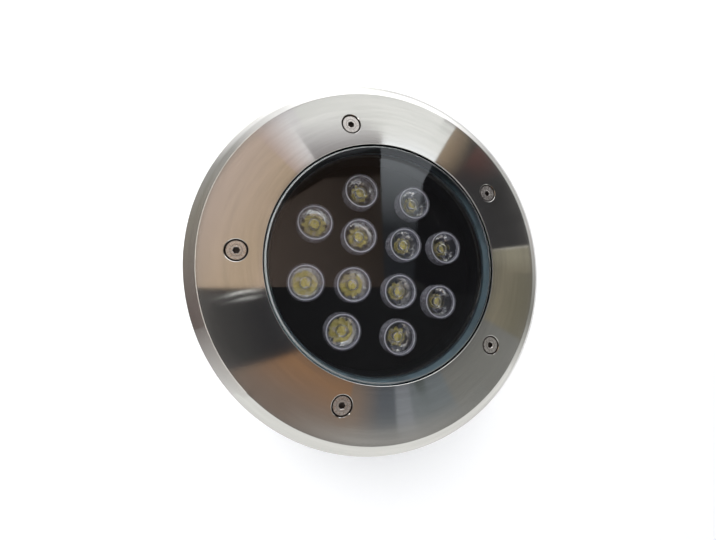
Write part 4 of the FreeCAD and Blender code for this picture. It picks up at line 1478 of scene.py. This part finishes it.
@dataclass(frozen=True)
class Card:
    """A flat card over the lamp that its polished faces reflect.

    Its outline is given on the lamp's face, as radius in millimetres and angle in degrees: the place
    where the camera sees the card mirrored. Radii beyond the face are seen in the bevel. A fade runs
    from one spot to another, or between the angles of both.
    """

    name: str
    outline: tuple[Spot, ...]
    colour: Colour
    height: float = 0.712
    fade: Fade = Fade.NONE
    faded: Colour = (0.0, 0.0, 0.0)
    fade_from: Spot = (80.0, 0.0)
    fade_to: Spot = (80.0, 90.0)

    def hung(self, radius: float, angle: float) -> Vector:
        """Gives the place on the card that the camera sees at a point of the face.

        Args:
            radius: Radius of the point in millimetres.
            angle: Angle of the point in degrees.

        Returns:
            The place on the card in metres.
        """
        eye_height = EYE[2] - FACE_Z
        reach = (self.height - FACE_Z + eye_height) / eye_height
        return Vector(EYE[:2]) * (1.0 - reach) + on_face(radius, angle) * reach

    def across(self, board: MaterialBoard) -> Socket:
        """Gives the share of the second colour for a fade straight from spot to spot.

        Args:
            board: The card's material.

        Returns:
            The share, 0 to 1.
        """
        start = self.hung(*self.fade_from)
        run = self.hung(*self.fade_to) - start
        along = board.add(
            "ShaderNodeVectorMath", {0: board.place, 1: (run.x, run.y, 0.0)}, operation="DOT_PRODUCT")
        first = run.dot(start)
        return board.span(along.outputs["Value"], first, first + run.length_squared)

    def round_about(self, board: MaterialBoard) -> Socket:
        """Gives the share of the second colour for a fade from angle to angle.

        Args:
            board: The card's material.

        Returns:
            The share, 0 to 1.
        """
        middle = self.hung(0.0, 0.0)
        first, last = math.radians(self.fade_from[1]), math.radians(self.fade_to[1])
        parts = board.add("ShaderNodeSeparateXYZ", {0: board.place}).outputs
        out_x = board.math("SUBTRACT", parts["X"], middle.x)
        out_y = board.math("SUBTRACT", parts["Y"], middle.y)
        angle = board.math("SUBTRACT", board.math("ARCTAN2", out_y, out_x), (first + last) / 2.0)
        wrap = board.add("ShaderNodeMath", {0: angle, 1: math.pi, 2: -math.pi}, operation="WRAP")
        share = board.math("DIVIDE", wrap.outputs[0], last - first)
        return board.math("ADD", share, 0.5, clamp=True)

    def hang(self) -> None:
        """Makes the card face down at its height, with its own light."""
        mesh = bpy.data.meshes.new(self.name)
        verts = [(*self.hung(radius, angle), self.height) for radius, angle in self.outline]
        mesh.from_pydata(verts, [], [tuple(range(len(verts)))])
        card = bpy.data.objects.new(self.name, mesh)
        bpy.context.scene.collection.objects.link(card)
        board = MaterialBoard(self.name)
        colour = self.colour
        if self.fade is Fade.ACROSS:
            colour = board.blend_colours(self.across(board), self.colour, self.faded)
        elif self.fade is Fade.ROUND:
            colour = board.blend_colours(self.round_about(board), self.colour, self.faded)
        board.show(board.add("ShaderNodeEmission", {"Color": colour, "Strength": 1.0}).outputs[0])
        mesh.materials.append(board.material)
        card.visible_camera = False
        card.visible_diffuse = False
        card.visible_shadow = False


@dataclass
class Studio:
    """Pale floor, soft light, reflected cards and the camera.

    Lengths are in metres, and the radii that cards are laid out by in millimetres.
    """

    floor_size: float = 4.0
    floor_z: float = -0.0002
    floor_colour: Colour = (0.80, 0.80, 0.80)
    lift_from: float = 0.5
    lift_to: float = 1.5
    lift_near: float = 0.42
    lift_far: float = 0.70
    level_left: float = 0.24
    level_right: float = 0.42
    level_far: float = 2.2
    level_near: float = 1.05
    level_above: float = 0.25
    level_soft: float = 0.42
    lamp_place: Place = (-0.22, 0.86, 1.15)
    lamp_size: float = 0.9
    lamp_power: float = 18.0
    lens_length: float = 14.229
    camera_right: Place = (0.928, -0.272, 0.255)
    camera_up: Place = (0.256, 0.962, 0.096)
    flat_inner: float = 64.5
    flat_outer: float = 97.0
    crease: float = 126.0
    far_out: float = 1500.0
    far_height: float = 0.704

    def floor(self) -> None:
        """Lays the floor: pale, and white to the camera where no shadow falls."""
        half, level = self.floor_size / 2, self.floor_z
        mesh = bpy.data.meshes.new("floor")
        corners = [(-half, -half, level), (half, -half, level), (half, half, level), (-half, half, level)]
        mesh.from_pydata(corners, [], [(0, 1, 2, 3)])
        floor = bpy.data.objects.new("floor", mesh)
        bpy.context.scene.collection.objects.link(floor)
        board = MaterialBoard("floor_paper")
        paper = board.add("ShaderNodeBsdfDiffuse", {"Color": self.floor_colour})
        light = board.add("ShaderNodeLightPath").outputs
        seen = board.math("MAXIMUM", light["Is Camera Ray"], light["Is Glossy Ray"])
        seen = board.math("MAXIMUM", seen, light["Is Transmission Ray"])
        away = board.span(
            board.radius_of(board.place), self.lift_from, self.lift_to, self.lift_near, self.lift_far)
        lift = board.math("MULTIPLY", seen, away)
        glow = board.add("ShaderNodeEmission", {"Color": (1.0, 1.0, 1.0), "Strength": lift})
        lit = board.add("ShaderNodeAddShader", {0: paper.outputs[0], 1: glow.outputs[0]}).outputs[0]
        underside = board.add("ShaderNodeNewGeometry").outputs["Backfacing"]
        open_below = board.add("ShaderNodeBsdfTransparent").outputs[0]
        board.show(board.add("ShaderNodeMixShader", {0: underside, 1: lit, 2: open_below}).outputs[0])
        mesh.materials.append(board.material)

    def world(self) -> None:
        """Sets a soft even surround that the camera sees as white, with darker sides for polished metal."""
        world = bpy.data.worlds.new("surround")
        bpy.context.scene.world = world
        world.use_nodes = True
        board = Board(world.node_tree)
        light = board.add("ShaderNodeLightPath").outputs
        around = board.add("ShaderNodeTexCoord").outputs["Generated"]
        heading = board.add("ShaderNodeSeparateXYZ", {0: around}).outputs
        level = board.math("MULTIPLY", board.math("POWER", heading["Z"], 2.0), self.level_above)
        for axis, sign, strength, narrowness in (
            ("X", -1.0, self.level_left, 2.0), ("X", 1.0, self.level_right, 2.0),
            ("Y", -1.0, self.level_near, 2.0), ("Y", 1.0, self.level_far, 4.0),
        ):
            towards = board.math("MAXIMUM", board.math("MULTIPLY", heading[axis], sign), 0.0)
            part = board.math("MULTIPLY", board.math("POWER", towards, narrowness), strength)
            level = board.math("ADD", level, part)
        soft, sides, white = (
            board.add("ShaderNodeBackground", {"Color": colour, "Strength": strength}).outputs[0]
            for colour, strength in (
                ((0.93, 0.95, 1.0), self.level_soft), ((1.0, 0.99, 0.97), level), ((1.0, 1.0, 1.0), 1.0)))
        mirrored = board.add("ShaderNodeMixShader", {0: light["Is Glossy Ray"], 1: soft, 2: sides}).outputs[0]
        shown = board.add("ShaderNodeMixShader", {0: light["Is Camera Ray"], 1: mirrored, 2: white})
        board.add("ShaderNodeOutputWorld", {0: shown.outputs[0]})

    def lamp(self) -> None:
        """Hangs one large soft lamp above and behind the object."""
        data = bpy.data.lights.new("overhead_softbox", "AREA")
        data.size = self.lamp_size
        data.energy = self.lamp_power
        lamp = bpy.data.objects.new("overhead_softbox", data)
        lamp.location = self.lamp_place
        aim = Vector((0.0, 0.0, FACE_Z)) - Vector(self.lamp_place)
        lamp.rotation_euler = aim.to_track_quat("-Z", "Y").to_euler()
        lamp.visible_glossy = False
        lamp.visible_camera = False
        bpy.context.scene.collection.objects.link(lamp)

    def flat(self, start: float, end: float) -> tuple[Spot, ...]:
        """Outline over the ring's whole flat between two angles."""
        return arc(self.flat_inner, self.flat_outer, start, end)

    def upper_ring_cards(self) -> tuple[Card, ...]:
        """Lists the cards seen in the upper half of the ring, after the surround behind them all.

        Returns:
            The cards.
        """
        inner, outer = self.flat_inner, self.flat_outer
        return (
            Card("backing_card", arc(0.1, 380.0, 0.0, 360.0), (0.15, 0.145, 0.14), 0.74),
            Card("warm_left_card", self.flat(119.0, 180.0), (0.60, 0.46, 0.325), 0.73,
                 Fade.ACROSS, (0.68, 0.54, 0.455), (66.0, 138.0), (90.0, 138.0)),
            Card("pale_end_card", self.flat(108.0, 123.0), (1.02, 1.0, 1.02), 0.711,
                 Fade.ROUND, (0.67, 0.53, 0.47), (80.0, 111.5), (80.0, 122.0)),
            Card("white_top_card", self.flat(46.0, 110.0), (1.08, 1.09, 1.06)),
            Card("grey_notch_card", ((inner, 75), (72, 79), (80, 87), (85, 98), (85, 112), (inner, 112)),
                 (0.44, 0.42, 0.43), 0.708, Fade.ACROSS, (1.08, 1.08, 1.07), (66.0, 90.0), (81.0, 90.0)),
            Card("tan_card", ((inner, 30), (inner, 47.6), (75, 47.4), (outer, 45.8), (outer, 40), (80, 34)),
                 (0.38, 0.29, 0.20), 0.705, Fade.ROUND, (0.06, 0.052, 0.05), (80.0, 45.0), (80.0, 34.0)),
            Card("red_card", ((78, 21), (outer, 21), (outer, 36), (78, 34)), (0.045, 0.042, 0.043), 0.707,
                 Fade.ACROSS, (0.135, 0.065, 0.058), (84.0, 22.0), (91.0, 31.0)),
            Card("dark_right_card", self.flat(-9.0, 46.0), (0.041, 0.040, 0.041)),
            Card("thin_line_card", arc(65.5, outer, -9.3, -8.5), (0.50, 0.48, 0.43), 0.704),
        )

    def lower_ring_cards(self) -> tuple[Card, ...]:
        """Lists the cards seen in the lower half of the ring.

        Returns:
            The cards.
        """
        inner, outer = self.flat_inner, self.flat_outer
        return (
            Card("grey_right_card", self.flat(340.5, 351.5), (0.35, 0.325, 0.245), 0.71,
                 Fade.ROUND, (0.27, 0.245, 0.18), (80.0, 347.0), (80.0, 341.0)),
            Card("olive_card", self.flat(314.0, 341.0), (0.30, 0.27, 0.20), 0.712,
                 Fade.ACROSS, (0.20, 0.185, 0.135), (70.0, 328.0), (84.0, 328.0)),
            Card("low_grey_card", self.flat(279.0, 315.0), (0.24, 0.24, 0.225)),
            Card("cool_card", self.flat(261.0, 280.0), (0.205, 0.23, 0.245)),
            Card("dark_crescent_card", ((64.8, 264), (70, 265.5), (71.5, 267.5), (69, 269.5), (64.8, 270)),
                 (0.09, 0.11, 0.10), 0.706),
            Card("pale_stripe_card", self.flat(255.3, 262.0), (0.28, 0.30, 0.33), 0.71),
            Card("cool_stripe_card", self.flat(236.0, 255.5), (0.27, 0.20, 0.155), 0.711,
                 Fade.ROUND, (0.125, 0.14, 0.16), (80.0, 239.0), (80.0, 249.0)),
            Card("low_edge_card", arc(87.0, outer, 214.0, 242.0), (0.25, 0.19, 0.155), 0.7055,
                 Fade.ROUND, (0.43, 0.42, 0.40), (80.0, 216.0), (80.0, 240.0)),
            Card("far_low_edge_card", arc(87.0, outer, 242.0, 292.0), (0.43, 0.42, 0.40), 0.705,
                 Fade.ROUND, (0.25, 0.255, 0.245), (80.0, 262.0), (80.0, 290.0)),
            Card("brown_card", self.flat(190.0, 237.0), (0.36, 0.20, 0.105), 0.712,
                 Fade.ACROSS, (0.25, 0.19, 0.155), (70.0, 222.0), (84.0, 222.0)),
            Card("dark_patch_card",
                 ((inner, 177.5), (80, 175.0), (outer, 172.8), (outer, 180), (outer, 188), (outer, 197),
                  (80, 202), (inner, 208.5), (inner, 198), (inner, 188)), (0.030, 0.030, 0.033), 0.706,
                 Fade.ACROSS, (0.068, 0.066, 0.065), (70.0, 187.0), (90.0, 187.0)),
            Card("upper_glint_card",
                 ((84, 177.8), (80, 176.7), (76, 176.3), (72, 177.0), (68, 178.5), (72, 177.8), (76, 177.1),
                  (80, 177.4)), (1.2, 1.216, 1.184), 0.70),
            Card("lower_glint_card",
                 ((80, 179.1), (76, 178.9), (72, 179.5), (68.5, 180.8), (72, 180.2), (76, 179.6)),
                 (1.05, 1.064, 1.036), 0.70),
        )

    def bevel_cards(self) -> tuple[Card, ...]:
        """Lists the cards seen in the crease and the bevel.

        Returns:
            The cards: the strip that lights the crease, then one after the other round the bevel.
        """
        cards = [Card("left_strip_card", arc(112.0, 123.0, 118.0, 206.0), (3.2, 3.04, 2.848), 0.70)]
        for name, inner, start, end, colour, faded, fade_start, fade_end in (
            ("left", self.crease, 150.0, 184.0, (0.33, 0.305, 0.265), (0.20, 0.165, 0.155), 150.0, 178.0),
            ("upper_left", self.crease, 128.0, 150.0, (0.49, 0.485, 0.465), (0.33, 0.305, 0.265),
             128.0, 148.0),
            ("top_left", 104.0, 106.0, 128.0, (1.3, 1.3, 1.3), (0.49, 0.485, 0.465), 108.0, 128.0),
            ("low_left", self.crease, 184.0, 208.0, (0.23, 0.20, 0.19), (0.95, 0.94, 0.92), 182.0, 209.0),
            ("bottom", 106.0, 208.0, 312.0, (1.03, 1.03, 1.0), None, 0.0, 0.0),
            ("low_right", 106.0, 312.0, 333.0, (0.92, 0.92, 0.89), (0.33, 0.33, 0.305), 312.0, 329.0),
            ("right", 112.0, 333.0, 361.0, (0.33, 0.33, 0.305), (0.74, 0.73, 0.72), 333.0, 360.0),
            ("upper_right", self.crease, 1.0, 50.0, (0.70, 0.70, 0.69), (2.0, 2.0, 2.0), 26.0, 48.0),
            ("top", 102.0, 50.0, 106.0, (2.2, 2.2, 2.2), (1.3, 1.3, 1.3), 92.0, 106.0),
        ):
            outline = arc(inner, self.far_out, start, end)
            fade = Fade.ROUND if faded else Fade.NONE
            cards.append(Card(f"far_{name}_card", outline, colour, self.far_height, fade,
                              faded or colour, (80.0, fade_start), (80.0, fade_end)))
        return tuple(cards)

    def glass_cards(self) -> tuple[Card, ...]:
        """Lists the cards seen in the glass.

        Returns:
            The cards.
        """
        left, corner, top = (65.0, 142.2), (55.3, 114.2), (48.0, 78.6)
        rim = tuple((64.8, angle) for angle in range(318, 176, -6))
        return (
            Card("glass_brown_card", ((66.8, 176.7), (14.7, 264.1), (33.6, 79.7), top, corner, left),
                 (0.24, 0.18, 0.145), 0.714,
                 Fade.ACROSS, (0.62, 0.47, 0.39), (14.0, 110.0), (62.0, 172.0)),
            Card("glass_dark_brown_card", (top, (64.4, 77.9), (64.7, 101.3), (64.4, 128.4), left, corner),
                 (0.10, 0.07, 0.055), 0.714),
            Card("glass_pale_card",
                 ((23.9, 246.9), (20.1, 296.6), (31.2, 39.8), (50.5, 48.9), (64.9, 48.5), (64.8, 56.5),
                  (64.8, 64.0), (64.8, 78.0)), (0.16, 0.17, 0.19), 0.708,
                 Fade.ACROSS, (1.6, 1.68, 1.78), (18.0, 60.0), (56.0, 66.0)),
            Card("glass_dark_side_card", arc(0.1, 64.8, -50.0, 60.0), (0.058, 0.056, 0.060), 0.716),
            Card("glass_dark_low_card", ((64.1, 177.1), (15.7, 277.7), (64.8, 325.9), *rim),
                 (0.085, 0.084, 0.088), 0.7125),
        )

    def camera(self) -> None:
        """Sets the camera where the photograph was taken from."""
        right, up = Vector(self.camera_right).normalized(), Vector(self.camera_up)
        back = right.cross(up).normalized()
        turn = Matrix((right, back.cross(right), back)).transposed().to_4x4()
        data = bpy.data.cameras.new("camera")
        data.sensor_width = 36.0
        data.lens = self.lens_length
        data.clip_start = 0.01
        camera = bpy.data.objects.new("camera", data)
        camera.matrix_world = Matrix.Translation(EYE) @ turn
        bpy.context.scene.collection.objects.link(camera)
        bpy.context.scene.camera = camera

    def build(self) -> None:
        """Builds the whole studio."""
        self.floor()
        self.world()
        self.lamp()
        for cards in (self.upper_ring_cards, self.lower_ring_cards, self.bevel_cards, self.glass_cards):
            for card in cards():
                card.hang()
        self.camera()
        bpy.context.scene.view_settings.view_transform = "Standard"


def main() -> None:
    """Builds the dressed part and its studio."""
    logging.basicConfig(level=logging.INFO, format="%(name)s: %(message)s")
    copies = CopyRing()
    CoverFront().build(copies)
    LightSources().build(copies)
    PlainSolids().build()
    Studio().build()


if __name__ == "__main__":
    main()
